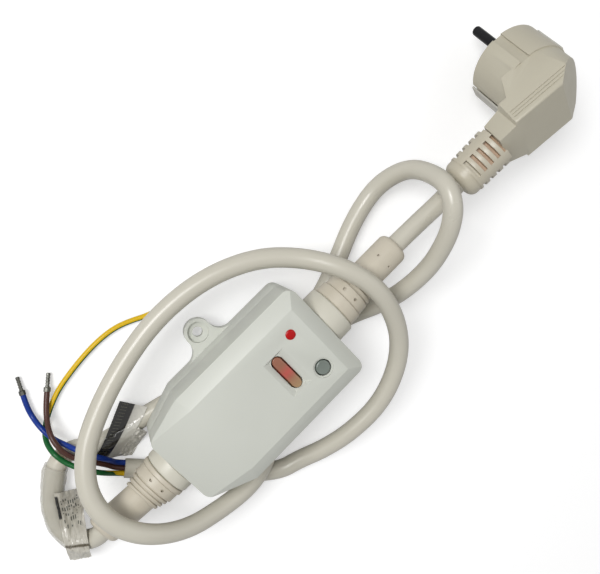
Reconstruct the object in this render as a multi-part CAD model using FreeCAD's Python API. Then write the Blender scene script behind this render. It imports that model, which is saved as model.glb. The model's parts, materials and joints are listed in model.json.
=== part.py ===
import FreeCAD, Part
import math
import os
from FreeCAD import Vector

os.makedirs("parts", exist_ok=True)

# All sizes are millimetres.
# The cord lies on a table at z = 0, and the housing's centre is above x = 0, y = 0.
# The plug leaves towards +X, and the fixing lug is on the +Y side.

# Cord and its three cores
cord_r = 4.5
core_r = 1.25
core_pitch_r = 1.95
fit = 0.3

# Housing: a box with a sloping, tapering lower end and chamfered top edges
strand_gap = 0.3
housing_z = 2 * cord_r + strand_gap
housing_length = 90.0
housing_width = 51.2
housing_height = 35.8
end_width = 36.6
taper_start_x = -23.3
slope_start_x = -21.4
slope_drop = 10.0
chamfer_width = 6.8
chamfer_drop = 4.4
corner_r = 4.5
wall = 2.4
base_height = 14.0
lip_height = 1.5
lip_wall = 1.0
lip_play = 0.1

# Fixing lug beside the base
lug_x = 3.0
lug_reach = 7.7
lug_r = 6.4
lug_thickness = 4.7
lug_hole_r = 2.35
lug_counterbore_r = 4.9
lug_counterbore_depth = 2.0
lug_fillet_r = 7.0

# Cable entries
supply_axis_above_base = 18.0
load_axis_above_base = 13.2
supply_nut_r = 12.6
load_nut_r = 11.6
supply_nut_length = 9.0
load_nut_length = 6.5
nut_round = 1.2
boot_flange_r = 11.2
boot_ring_r = 10.5
boot_groove_depth = 0.6
boot_rib_r = 9.9
boot_rib_count = 3
boot_sleeve_r = 7.6
supply_flange_length = 5.8
load_flange_length = 2.6
boot_ring_length = 5.4
boot_groove_length = 0.6
boot_rib_length = 1.8
supply_sleeve_length = 22.6
load_sleeve_length = 25.1
sleeve_round = 2.0
boot_taper = 0.6
boot_overlap = 0.9
load_boot_droop = 12.5
boot_dot_r = 0.9
boot_dot_depth = 1.5
boot_dot_turn = 19.0
boot_dot_tilt = 12.0
sleeve_dot_r = 0.5
sleeve_dot_back = 10.3
sleeve_dot_turn = 28.0
sleeve_dot_tilt = 7.0

# Reset button in its sloping recess
reset_x = 18.2
reset_y = -0.2
reset_half_travel_slot = 6.0
reset_slot_r = 2.65
reset_travel = 2.5
recess_depth = 1.8
recess_side = 2.8
recess_end = 1.2
button_pad = 2.4
reset_proud = 0.6
button_flange = 1.0
button_flange_thickness = 1.5
reset_shank_r = 2.2

# Test button
test_x = 30.8
test_y = -10.1
test_r = 3.5
test_travel = 1.5
test_recess_r = 4.6
test_recess_depth = 0.8
test_shank_r = 2.0
test_shank_end = 10.1

# Indicator lens and lamp
lens_x = 30.5
lens_y = 11.2
lens_r = 2.3
lens_proud = 0.5
lens_flange = 0.9
lens_flange_thickness = 1.0
lamp_r = 2.0
lamp_length = 9.0
lamp_leg_r = 0.35
lamp_leg_spacing = 2.0
lamp_gap = 0.3

# Circuit board and what stands on it
board_min_x = -29.0
board_max_x = 35.0
board_half_width = 18.0
board_thickness = 1.6
board_height = 9.0
standoff_r = 2.5
standoff_x = (-25.0, 31.0)
standoff_y = 14.8
carrier_length_x = 18.0
carrier_width_y = 16.0
carrier_thickness = 5.0
carrier_above_board = 6.3
blade_above_carrier_base = 0.8
blade_thickness = 0.8
blade_width = 3.0
blade_spacing = 9.0
blade_half_length = 13.0
contact_arm_overlap = 2.0
contact_post_gap = 1.0
contact_post_thickness = 2.0
contact_arm_thickness = 1.2
reset_spring_r = 3.6
test_spring_r = 2.0
spring_wall = 0.6
core_x = -6.0
core_y = -7.0
ring_outer_r = 9.2
ring_inner_r = 5.6
ring_height = 7.6
winding_wall = 0.9
winding_sector = 110.0
coil_x = -6.0
coil_y = 12.8
coil_r = 5.2
coil_height = 11.0
coil_bore_r = 2.35
frame_sheet = 1.0
plunger_r = 2.0
plunger_length = 12.0
plunger_head_r = 3.2
plunger_head_thickness = 1.2
plunger_travel = 2.0
plunger_play = 2.0
plunger_spring_inset = 0.2
plunger_spring_gap = 0.4
varistor_x = -20.0
varistor_y = -12.5
varistor_r = 5.0
varistor_thickness = 4.0
capacitor_x = -20.0
capacitor_y = 12.0
capacitor_size = (6.0, 12.0, 9.0)
terminal_size = (5.0, 5.0, 7.0)
supply_terminal_x = 30.8
load_terminal_x = -26.0
terminal_spacing = 8.0
terminal_screw_r = 1.3
terminal_screw_depth = 3.0
terminal_head_r = 2.0
terminal_head_thickness = 1.3
test_contact_x = 36.0
test_stem_inset = 2.0
lead_bite = 1.0
test_contact_height = 9.0
test_contact_width = 4.0
test_contact_sheet = 0.6
test_contact_reach = 2.6

# Cord clamps inside both ends
clamp_thickness = 5.0
clamp_half_width = 9.8
clamp_height = 6.8
clamp_split = 0.2
clamp_screw_y = 7.2
clamp_screw_r = 1.3
clamp_screw_depth = 16.0
clamp_head_r = 2.4
clamp_head_thickness = 1.6
cord_end_x = 36.0
load_cord_end_x = -34.0
load_bend_x = -67.0
lead_r = 1.1
earth_lead_r = 1.4
earth_lane_y = 20.3

# Case screws from below
case_screw_places = ((38.0, 19.0), (38.0, -19.0), (-38.0, 13.6), (-38.0, -13.6))
case_screw_r = 1.4
case_screw_length = 20.0
case_head_r = 2.6
case_head_thickness = 1.6
case_head_recess = 2.4
screw_slot_width = 0.7
boss_r = 3.0

# Plug: an angled earthed plug lying on its side, one pin's tip just over the table
plug_face_x = 196.5
plug_face_y = 23.2
plug_face_z = 21.2
plug_cable_dir = Vector(-0.969, 0.012, -0.246)
plug_pin_dir = Vector(0.196, 0.643, -0.741)
barrel_r = 19.2
barrel_depth = 20.0
barrel_round = 1.0
pin_r = 2.4
pin_length = 19.0
pin_spacing = 19.0
pin_round = 1.2
pin_root = 13.0
pin_root_r = 2.0
pin_neck = 0.3
groove_width = 4.6
groove_depth = 1.6
clip_width = 7.0
clip_sheet = 0.9
clip_proud = 0.8
clip_recess = 1.6
clip_end_depth = 28.0
clip_bar_depth = 15.0
clip_bar_width = 3.5
face_r = 14.6
face_thickness = 12.0

# Grip: flat sides on a round back, a sloping back end and a narrower neck
grip_r = 18.5
grip_half = 14.4
grip_front_half = 18.2
grip_back = 40.0
grip_slope_start_x = -3.0
grip_slope_end_depth = 27.0
neck_step_x = 21.0
neck_start_x = 22.8
neck_start_half = 12.2
grip_end_x = 31.5
grip_end_half = 9.4
grip_end_back = 38.6
grip_front_x = 17.0
grip_front_depth = 27.0
grip_edge_round = 1.2
ridge_count = 3
ridge_first = 2.4
ridge_spacing = 1.5
ridge_width = 0.5
ridge_depth = 0.3

# Cord guard on the grip: rows of four slots and a smooth nose
guard_depth = 32.5
guard_r = 10.2
guard_end_r = 9.8
guard_length = 18.9
guard_rows = 5
guard_pitch = 4.0
guard_first_slot = 0.7
guard_slot_width = 1.9
guard_slot_floor = 1.5
guard_slot_depth = 6.0
guard_slot_reach = 9.6
guard_slot_turn = 57.0
nose_r = 9.4
nose_length = 6.0
nose_round = 3.8
plug_lead_r = 1.2
plug_jacket_end = 20.0
plug_lead_turn = Vector(13.0, 4.5, -32.0)
plug_lead_rise = Vector(5.0, 8.6, -24.0)
plug_earth_rise_x = 8.0

# Film round the cord near its stripped end
film_wall = 0.5
film_gap = 0.3
label_start_share = 0.15
label_end_share = 0.55
flag_length = 17.0
flag_near_reach = 7.0
flag_far_reach = 11.5
flag_foot_z = 0.3
flag_top_angle = math.radians(40)

# Crimped ends of the cores
crimp_collar_r = 1.6
crimp_collar_length = 2.2
crimp_pin_r = 1.0
crimp_pin_length = 8.6

# Free route of the short cord, from inside the plug's guard to inside the supply boot
supply_route = [(143.6, 1.5, 33.8), (134.3, 0.8, 31.6), (124.6, 0, 30.3), (111.8, 0, 28.6), (102.1, 0, 27.7),
                (95, 0, 27.3), (88, 0, 27.3)]

# Free route of the long cord, from inside the load boot to its stripped end
load_route = [
    (-80.5, 0, 18), (-88, 0, 16.3), (-95.5, -1.5, 12.5), (-102.5, 2.5, 7.5), (-104.5, 11, 4.5),
    (-100.5, 20, 4.5), (-92.5, 28, 4.5), (-84, 34.5, 4.5), (-75, 34.5, 4.5), (-67.5, 27.5, 4.5),
    (-55, 23.5, 4.5), (-35, 19.5, 4.5), (-12, 11.5, 4.5), (12, 3.5, 4.5), (34, -1, 4.5),
    (54, 0, 4.5), (74, 7.5, 4.5), (90, 15, 4.5), (107, 20, 5.5), (117.5, 21.5, 12),
    (126, 19.9, 22), (128, 15, 33.7), (126.8, 8.7, 45), (122, 0.5, 47.6), (116.5, -6.5, 44.5),
    (110, -12.5, 39), (100.5, -18, 32), (89.5, -20, 26), (80, -20.5, 19.5), (71.5, -19.5, 12.5),
    (64, -17.5, 6.5), (48, -12, 4.5), (32, -13, 4.5), (16, -18, 4.5), (4, -24, 4.5),
    (-8, -31, 5.5), (-19, -35.5, 12.5), (-32, -36, 17), (-47.5, -31.5, 21.5), (-62, -24, 28.5),
    (-73, -10.5, 36), (-79.5, 5, 36.5), (-78, 20.5, 33.5), (-67.5, 33.5, 31), (-52.5, 42, 29),
    (-30.5, 49.5, 27.5), (-5, 54, 27), (21, 52, 28.5), (43.5, 43, 31), (58.5, 29, 34),
    (68.5, 13, 40.6), (73, -4.5, 42), (69.5, -26.5, 35), (58.5, -42, 29), (40.5, -51.5, 24.5),
    (21, -53.5, 19), (5.5, -52.5, 12.5), (-6.5, -49.5, 7), (-18, -47, 4.5), (-31, -33, 4.5),
    (-44, -17.5, 4.5), (-55, -3, 4.5), (-65.5, 10, 4.5)]

# Cores, from the stripped end of the long cord to their crimped ends
blue_route = [(-63.48, 11.64, 4.5), (-66.12, 14.91, 4.5), (-66.5, 19.6, 8.9), (-68.4, 25.6, 12.7),
              (-70.9, 32.4, 13.2), (-73.6, 38, 9.5), (-76, 43.8, 7.2), (-76.2, 50.8, 6.2),
              (-75.8, 56.9, 2.2), (-73.7, 62.2, 2.8), (-71.3, 66.7, 2.3)]
brown_route = [(-65.5, 10, 4.5), (-68.14, 13.27, 4.5), (-69.4, 17.1, 5.2), (-71.3, 22.1, 7.7),
               (-73.5, 28.6, 11.5), (-75.8, 34.8, 13), (-75.8, 41.6, 12.9), (-74.4, 47.3, 10.6),
               (-71.3, 52.4, 6.7), (-67, 57, 4.7), (-63.1, 60.4, 3.5)]
earth_route = [(-67.53, 8.37, 4.5), (-70.16, 11.63, 4.5), (-71.3, 15.2, 8.8), (-73.6, 21, 12.9),
               (-76.5, 26.9, 13.1), (-79.2, 33.3, 11.7), (-79.7, 40, 11.2), (-79.5, 45.3, 4.3),
               (-75.2, 49.8, 2.2), (-69.1, 53.4, 2.2), (-60.6, 57, 1.7), (-51.5, 58.9, 1.8),
               (-40.7, 60.3, 1.8), (-31.1, 60.6, 1.8), (-22.4, 59.6, 1.8), (-14.8, 56.7, 1.8),
               (-8.7, 53.4, 2.1), (-2.9, 51.5, 2.1)]

# Places worked out from the sizes above
half_length = housing_length / 2
half_width = housing_width / 2
half_end = end_width / 2
housing_top = housing_z + housing_height
parting_z = housing_z + base_height
floor_z = housing_z + wall
roof_z = housing_top - wall
supply_z = housing_z + supply_axis_above_base
load_z = housing_z + load_axis_above_base
board_top = housing_z + board_height + board_thickness
lug_y = half_width + lug_reach

# The part's own origin is the centre of the box round the housing, its collars, lug and lens
row_x = (supply_nut_length - load_nut_length) / 2
row_y = (lug_y + lug_r - half_width) / 2
row_z = (housing_z + housing_top + lens_proud) / 2
to_row = Vector(-row_x, -row_y, -row_z)

up = Vector(0, 0, 1)
along_x = Vector(1, 0, 0)
reach = 4 * housing_length


def save(name, solids):
    """Moves the solids into the part's own frame and writes them as one node."""
    placed = []
    for solid in solids:
        copy = solid.copy()
        copy.translate(to_row)
        placed.append(copy)
    shape = placed[0] if len(placed) == 1 else Part.makeCompound(placed)
    for solid in shape.Solids:
        if not solid.isValid():
            print("not valid:", name)
    shape.exportStep("parts/" + name + ".step")


def block(x, y, z, size_x, size_y, size_z):
    """A box centred on x and y that stands on z."""
    return Part.makeBox(size_x, size_y, size_z, Vector(x - size_x / 2, y - size_y / 2, z))


def rod(x, y, z, radius, height):
    """An upright cylinder that stands on z."""
    return Part.makeCylinder(radius, height, Vector(x, y, z), up)


def oblong(x, y, z, half_run, radius, height):
    """An upright slot form: two round ends joined along Y."""
    body = block(x, y, z, 2 * radius, 2 * half_run, height)
    for end in (-half_run, half_run):
        body = body.fuse(rod(x, y + end, z, radius, height))
    return body.removeSplitter()


def clip(solid, point, outward):
    """Cuts away what lies beyond the plane through point."""
    beyond = Part.makeBox(reach, reach, reach, Vector(-reach / 2, -reach / 2, 0))
    beyond.Placement = FreeCAD.Placement(point, FreeCAD.Rotation(up, outward))
    return solid.cut(beyond)


def plane_through(first, second, third):
    """Unit normal of the plane through three points, pointing upwards."""
    normal = (second - first).cross(third - first)
    normal.normalize()
    return normal if normal.z > 0 else normal * -1


def housing_form(inset, low_z, high_z, rounded):
    """The housing's outer form, drawn in by inset on every face, between two heights."""
    x_end = half_length - inset
    form = block(0, 0, low_z, 2 * x_end, 2 * (half_width - inset), high_z - low_z)
    for side in (-1, 1):
        taper = Vector(-(half_width - half_end), side * (half_length + taper_start_x), 0)
        taper.normalize()
        form = clip(form, Vector(taper_start_x, side * half_width, 0) - taper * inset, taper)
    if rounded:
        upright = [edge for edge in form.Edges
                   if abs(edge.Vertexes[0].Point.x - edge.Vertexes[-1].Point.x) < 0.001
                   and abs(edge.Vertexes[0].Point.y - edge.Vertexes[-1].Point.y) < 0.001]
        form = form.makeFillet(corner_r - inset, upright)
    top = housing_top
    crest = Vector(half_length - chamfer_width, 0, top)
    end_chamfer = Vector(chamfer_drop, 0, chamfer_width)
    end_chamfer.normalize()
    form = clip(form, crest - end_chamfer * inset, end_chamfer)
    slope = Vector(-slope_drop, 0, half_length + slope_start_x)
    slope.normalize()
    form = clip(form, Vector(slope_start_x, 0, top) - slope * inset, slope)
    form = clip(form, Vector(0, 0, top - inset), up)
    for side in (-1, 1):
        edge_chamfer = Vector(0, side * chamfer_drop, chamfer_width)
        edge_chamfer.normalize()
        crest = Vector(0, side * (half_width - chamfer_width), top)
        form = clip(form, crest - edge_chamfer * inset, edge_chamfer)
        corner = Vector(slope_start_x, side * (half_width - chamfer_width), top)
        shoulder = Vector(taper_start_x, side * half_width, top - chamfer_drop)
        low_corner = Vector(-half_length, side * half_end, top - slope_drop)
        facet = plane_through(corner, shoulder, low_corner)
        form = clip(form, corner - facet * inset, facet)
    return form


def tube_path(points, label):
    """Straight runs joined by tangent arcs, as a wire; prints the arcs' radii."""
    places = [Vector(*point) for point in points]
    edges = []
    radii = []
    start = places[0]
    for before, here, after in zip(places, places[1:], places[2:]):
        run_in = here - before
        run_out = after - here
        shorter = min(run_in.Length, run_out.Length)
        run_in.normalize()
        run_out.normalize()
        half_turn = run_in.getAngle(run_out) / 2
        setback = 0.45 * shorter
        radius = setback / math.tan(half_turn)
        arc_start = here - run_in * setback
        arc_end = here + run_out * setback
        inward = run_out - run_in
        inward.normalize()
        middle = here + inward * (radius / math.cos(half_turn) - radius)
        edges.append(Part.LineSegment(start, arc_start).toShape())
        edges.append(Part.Arc(arc_start, middle, arc_end).toShape())
        start = arc_end
        radii.append(radius)
    edges.append(Part.LineSegment(start, places[-1]).toShape())
    if label:
        print(label, "radii", " ".join("%.0f" % radius for radius in radii))
    return Part.Wire(edges)


def tube(points, radius, label=""):
    """A round tube along the points."""
    path = tube_path(points, label)
    start = Vector(*points[0])
    heading = Vector(*points[1]) - start
    ring = Part.Wire(Part.makeCircle(radius, start, heading))
    solid = path.makePipeShell([ring], True, False)
    if label:
        wanted = math.pi * radius * radius * path.Length
        print(label, "length %.1f, volume %.0f of %.0f" % (path.Length, solid.Volume, wanted))
    return solid


# Cords first, because boots and clamps are bored for them
supply_cord = tube(supply_route, cord_r, "supply_cord")
load_cord = tube(load_route, cord_r, "load_cord")
supply_end = tube([supply_route[-1], (cord_end_x, 0, supply_z)], cord_r)
load_droop = Vector(*load_route[1]) - Vector(*load_route[0])
bend_corner = Vector(*load_route[0]) - load_droop * ((load_route[0][0] - load_bend_x) / load_droop.x)
load_bend = [(load_cord_end_x, 0, load_z), (-half_length - load_nut_length, 0, load_z), tuple(bend_corner),
             load_route[0]]
load_end = tube(load_bend, cord_r, "load_cord_end")
save("supply_cord", [supply_cord])
save("load_cord", [load_cord])
save("supply_cord_end", [supply_end])
save("load_cord_end", [load_end])


def clamp_x(side):
    """Place of a cord clamp, just inside the lip."""
    return side * (half_length - wall - lip_play - lip_wall - fit - clamp_thickness / 2)


def make_base():
    """Lower shell with its lip, screw bosses, board standoffs, cord saddles and lug."""
    base = housing_form(0, housing_z, parting_z, True)
    base = base.cut(housing_form(wall, floor_z, parting_z + 1, True))
    lip = housing_form(wall + lip_play, parting_z - lip_height, parting_z + lip_height, True)
    root = housing_form(wall, parting_z - 2 * lip_height, parting_z, True)
    hollow = housing_form(wall + lip_play + lip_wall, parting_z - 3 * lip_height,
                          parting_z + 2 * lip_height, True)
    base = base.fuse(root.fuse(lip).cut(hollow))
    for x, y in case_screw_places:
        base = base.fuse(rod(x, y, housing_z, boss_r, base_height))
    for x in standoff_x:
        for y in (-standoff_y, standoff_y):
            base = base.fuse(rod(x, y, floor_z - 0.5, standoff_r, board_height - wall + 0.5))
    for side, axis_z in ((1, supply_z), (-1, load_z)):
        saddle = block(clamp_x(side), 0, floor_z - 0.5, clamp_thickness, 2 * clamp_half_width,
                       axis_z - floor_z + 0.5)
        base = base.fuse(saddle)
    neck = block(lug_x, lug_y - lug_reach / 2 - 1, housing_z, 2 * lug_r, lug_reach + 2, lug_thickness)
    lug = neck.fuse(rod(lug_x, lug_y, housing_z, lug_r, lug_thickness))
    for side in (-1, 1):
        centre_x = lug_x + side * (lug_r + lug_fillet_r)
        corner = block(lug_x + side * (lug_r + lug_fillet_r / 2), half_width + lug_fillet_r / 2 - 1,
                       housing_z, lug_fillet_r, lug_fillet_r + 2, lug_thickness)
        round_cut = rod(centre_x, half_width + lug_fillet_r, housing_z, lug_fillet_r, lug_thickness)
        above = block(centre_x, half_width + lug_fillet_r + 1, housing_z, 3 * lug_fillet_r, 2, lug_thickness)
        lug = lug.fuse(corner.cut(round_cut).cut(above))
    inside = housing_form(wall / 2, housing_z - 1, parting_z, True)
    base = base.fuse(lug.cut(inside))
    base = base.cut(rod(lug_x, lug_y, housing_z, lug_hole_r, lug_thickness))
    base = base.cut(rod(lug_x, lug_y, housing_z + lug_thickness - lug_counterbore_depth,
                        lug_counterbore_r, lug_counterbore_depth))
    for x, y in case_screw_places:
        base = base.cut(rod(x, y, housing_z, case_screw_r, base_height + lip_height))
        base = base.cut(rod(x, y, housing_z, case_head_r + fit, case_head_recess))
    for side, axis_z in ((1, supply_z), (-1, load_z)):
        for y in (-clamp_screw_y, clamp_screw_y):
            depth = clamp_screw_depth - clamp_height
            base = base.cut(rod(clamp_x(side), y, axis_z - depth, clamp_screw_r, depth))
    for cord in (supply_end, load_end):
        base = base.cut(cord)
    return base.removeSplitter()


def make_cover():
    """Upper shell with its bosses, button pads, recess and holes."""
    cover = housing_form(0, parting_z, housing_top, True)
    cover = cover.cut(housing_form(wall, parting_z - 1, housing_top, True))
    shape = housing_form(wall / 2, parting_z, housing_top, True)
    added = [rod(x, y, parting_z, boss_r, housing_height) for x, y in case_screw_places]
    pad_x = 2 * (reset_slot_r + recess_side) + 2 * button_flange
    pad_y = 2 * (reset_half_travel_slot + reset_slot_r + recess_end) + 2 * button_flange
    added.append(block(reset_x, reset_y, roof_z - button_pad, pad_x, pad_y, button_pad + wall / 2))
    for piece in added:
        cover = cover.fuse(piece.common(shape))
    lip_space = housing_form(wall, parting_z, parting_z + lip_height + fit, True)
    lip_core = housing_form(wall + lip_play + lip_wall + fit, parting_z - 1, parting_z + 2 * lip_height, True)
    cover = cover.cut(lip_space.cut(lip_core))
    floor = housing_top - recess_depth
    low = Part.Wire(Part.makePolygon([
        Vector(reset_x + dx, reset_y + dy, floor)
        for dx, dy in rectangle(reset_slot_r + fit, reset_half_travel_slot + reset_slot_r + fit)]))
    high = Part.Wire(Part.makePolygon([
        Vector(reset_x + dx, reset_y + dy, housing_top)
        for dx, dy in rectangle(reset_slot_r + recess_side, reset_half_travel_slot + reset_slot_r + recess_end)]))
    cover = cover.cut(Part.makeLoft([low, high], True, True))
    cover = cover.cut(oblong(reset_x, reset_y, roof_z - button_pad - 1, reset_half_travel_slot,
                             reset_slot_r + fit, button_pad + wall + 2))
    cover = cover.cut(rod(test_x, test_y, roof_z - 1, test_r + fit, wall + 2))
    cover = cover.cut(rod(test_x, test_y, housing_top - test_recess_depth, test_recess_r, test_recess_depth))
    cover = cover.cut(rod(lens_x, lens_y, roof_z - 1, lens_r, wall + 2))
    for x, y in case_screw_places:
        cover = cover.cut(rod(x, y, parting_z, case_screw_r,
                              case_screw_length - base_height + case_head_recess))
    for cord in (supply_end, load_end):
        cover = cover.cut(cord)
    return cover.removeSplitter()


def rectangle(half_x, half_y):
    """Closed corner list of a rectangle about its centre."""
    return [(-half_x, -half_y), (half_x, -half_y), (half_x, half_y), (-half_x, half_y), (-half_x, -half_y)]


save("housing_base", [make_base()])
save("housing_cover", [make_cover()])


def make_case_screws():
    """Countersunk screws that pull the two shells together from below."""
    screws = []
    for x, y in case_screw_places:
        head_z = housing_z + case_head_recess - case_head_thickness
        head = rod(x, y, head_z, case_head_r, case_head_thickness)
        slot = block(x, y, head_z, 2 * case_head_r, screw_slot_width, screw_slot_width)
        shank = rod(x, y, head_z, case_screw_r, case_screw_length)
        screws.append(head.fuse(shank).cut(slot).removeSplitter())
    return screws


save("case_screws", make_case_screws())


def make_nut(side, axis_z, radius, length, cord):
    """White collar on one end of the housing."""
    start = Vector(side * half_length, 0, axis_z)
    nut = Part.makeCylinder(radius, length, start, along_x * side)
    rim = [edge for edge in nut.Edges if abs(edge.BoundBox.Center.x - side * (half_length + length)) < 0.01
           and edge.BoundBox.XLength < 0.01]
    nut = nut.makeFillet(nut_round, rim)
    return nut.cut(cord)


save("supply_gland_nut", [make_nut(1, supply_z, supply_nut_r, supply_nut_length, supply_end)])
save("load_gland_nut", [make_nut(-1, load_z, load_nut_r, load_nut_length, load_end)])


def blind_dots(boot, centre, heading, side, radius, tilt, turn, dot_r):
    """Two blind holes beside each other in the wall of the boot, round its axis through centre."""
    rise = heading.cross(Vector(0, side, 0))
    for angle in (math.radians(tilt - turn), math.radians(tilt + turn)):
        outward = Vector(0, math.sin(angle), 0) + rise * math.cos(angle)
        foot = centre + outward * (radius - boot_dot_depth)
        boot = boot.cut(Part.makeCylinder(dot_r, 2 * boot_dot_depth, foot, outward))
    return boot


def make_boot(side, axis_z, nut_length, flange_length, sleeve_length, droop, cords):
    """Strain relief: flange, ring with two blind holes, ribs, and a smooth sleeve."""
    sections = [(boot_flange_r, flange_length), (boot_ring_r, boot_ring_length)]
    for rib in range(boot_rib_count):
        rib_r = boot_rib_r - rib * boot_taper
        sections.append((rib_r - boot_groove_depth, boot_groove_length))
        sections.append((rib_r, boot_rib_length))
    sections.append((boot_sleeve_r, sleeve_length))
    place = Vector(side * (half_length + nut_length), 0, axis_z)
    boot = None
    bend = math.radians(droop) / (len(sections) - 1)
    angle = 0.0
    centres = []
    for number, (radius, length) in enumerate(sections):
        heading = Vector(side * math.cos(angle), 0, -math.sin(angle))
        overlap = 0.0 if number == 0 else boot_overlap
        piece = Part.makeCylinder(radius, length + overlap, place - heading * overlap, heading)
        centres.append((place + heading * (length / 2), heading))
        place = place + heading * length
        if number == len(sections) - 1:
            rim = [edge for edge in piece.Edges
                   if (edge.BoundBox.Center - place).Length < 0.5 and len(edge.Vertexes) == 1]
            piece = piece.makeFillet(sleeve_round, rim)
        boot = piece if boot is None else boot.fuse(piece)
        angle += bend
    for cord in cords:
        boot = boot.cut(cord)
    ring_centre, ring_heading = centres[1]
    boot = blind_dots(boot, ring_centre, ring_heading, side, boot_ring_r, boot_dot_tilt, boot_dot_turn, boot_dot_r)
    sleeve_centre = place - heading * sleeve_dot_back
    boot = blind_dots(boot, sleeve_centre, heading, side, boot_sleeve_r, sleeve_dot_tilt, sleeve_dot_turn,
                      sleeve_dot_r)
    return boot.removeSplitter()


save("supply_boot", [make_boot(1, supply_z, supply_nut_length, supply_flange_length, supply_sleeve_length, 0.0,
                               (supply_end, supply_cord))])
save("load_boot", [make_boot(-1, load_z, load_nut_length, load_flange_length, load_sleeve_length,
                             load_boot_droop, (load_end, load_cord))])

# Buttons, lens and lamp
reset_top = housing_top - recess_depth + reset_proud
reset_flange_top = roof_z - button_pad - fit
carrier_base = board_top + carrier_above_board
carrier_top = carrier_base + carrier_thickness
reset_cap = oblong(reset_x, reset_y, reset_flange_top, reset_half_travel_slot, reset_slot_r,
                   reset_top - reset_flange_top)
reset_flange = oblong(reset_x, reset_y, reset_flange_top - button_flange_thickness, reset_half_travel_slot,
                      reset_slot_r + button_flange, button_flange_thickness)
reset_shank = rod(reset_x, reset_y, carrier_top, reset_shank_r, reset_flange_top - carrier_top)
save("reset_button", [reset_cap.fuse(reset_flange).fuse(reset_shank).removeSplitter()])

test_top = housing_top - test_recess_depth + test_recess_depth / 2
test_flange_top = roof_z - fit
test_shank_z = board_top + test_shank_end
test_cap = rod(test_x, test_y, test_flange_top, test_r, test_top - test_flange_top)
test_cap = test_cap.fuse(rod(test_x, test_y, test_flange_top - button_flange_thickness,
                             test_r + button_flange, button_flange_thickness))
test_cap = test_cap.fuse(rod(test_x, test_y, test_shank_z, test_shank_r, test_flange_top - test_shank_z))
save("test_button", [test_cap.removeSplitter()])

lens_flange_z = roof_z - lens_flange_thickness
lens = rod(lens_x, lens_y, lens_flange_z, lens_r, housing_top + lens_proud - lens_flange_z)
lens = lens.fuse(rod(lens_x, lens_y, lens_flange_z, lens_r + lens_flange, lens_flange_thickness))
save("indicator_lens", [lens.removeSplitter()])

lamp_z = lens_flange_z - lamp_gap - lamp_length
lamp = rod(lens_x, lens_y, lamp_z, lamp_r, lamp_length)
for offset in (-lamp_leg_spacing / 2, lamp_leg_spacing / 2):
    lamp = lamp.fuse(rod(lens_x + offset, lens_y, board_top, lamp_leg_r, lamp_z - board_top + 1))
save("indicator_lamp", [lamp])

# Contact carrier with its two moving blades and four fixed contacts
blade_z = carrier_base + blade_above_carrier_base
blade_places = [reset_x - blade_spacing / 2, reset_x + blade_spacing / 2]
blades = [block(x, reset_y, blade_z, blade_width, 2 * blade_half_length, blade_thickness)
          for x in blade_places]
carrier = block(reset_x, reset_y, carrier_base, carrier_length_x, carrier_width_y, carrier_thickness)
for blade in blades:
    carrier = carrier.cut(blade)
save("contact_carrier", [carrier])
save("moving_contacts", blades)

fixed = []
for x in blade_places:
    for side in (-1, 1):
        post_y = blade_half_length + contact_post_gap + contact_post_thickness / 2
        arm_z = blade_z + blade_thickness
        post = block(x, reset_y + side * post_y, board_top, blade_width, contact_post_thickness,
                     arm_z + contact_arm_thickness - board_top)
        arm_length = contact_arm_overlap + contact_post_gap + contact_post_thickness
        arm_y = blade_half_length - contact_arm_overlap + arm_length / 2
        arm = block(x, reset_y + side * arm_y, arm_z, blade_width, arm_length, contact_arm_thickness)
        fixed.append(post.fuse(arm).removeSplitter())
save("fixed_contacts", fixed)


def ring(x, y, z, outer_r, inner_r, height):
    """An upright hollow cylinder."""
    return rod(x, y, z, outer_r, height).cut(rod(x, y, z, inner_r, height))


save("reset_spring", [ring(reset_x, reset_y, board_top, reset_spring_r, reset_spring_r - spring_wall,
                           carrier_base - board_top)])
save("test_spring", [ring(test_x, test_y, board_top, test_spring_r, test_spring_r - spring_wall,
                          test_shank_z - board_top)])

contact_stem = block(test_contact_x - test_stem_inset, test_y, board_top, test_contact_sheet, test_contact_width,
                     test_contact_height)
contact_leaf = block(test_contact_x - test_stem_inset - test_contact_reach / 2, test_y,
                     board_top + test_contact_height - test_contact_sheet,
                     test_contact_reach, test_contact_width, test_contact_sheet)
leaf_hole = rod(test_x, test_y, board_top, test_spring_r + fit, 2 * test_contact_height)
save("test_contact", [contact_stem.fuse(contact_leaf).cut(leaf_hole).removeSplitter()])

# Circuit board and its components
board = Part.makeBox(board_max_x - board_min_x, 2 * board_half_width, board_thickness,
                     Vector(board_min_x, -board_half_width, board_top - board_thickness))
save("circuit_board", [board])

core = ring(core_x, core_y, board_top + winding_wall, ring_outer_r, ring_inner_r, ring_height)
save("transformer_core", [core])
winding = ring(core_x, core_y, board_top, ring_outer_r + winding_wall, ring_inner_r - winding_wall,
               ring_height + 2 * winding_wall).cut(core)
winding_halves = []
for turn in (0, 180):
    wedge = Part.makeCylinder(2 * ring_outer_r, 2 * ring_height, Vector(core_x, core_y, board_top - 1), up,
                              winding_sector)
    wedge.rotate(Vector(core_x, core_y, 0), up, turn - winding_sector / 2)
    winding_halves.append(winding.common(wedge))
save("transformer_winding", winding_halves)

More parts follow.
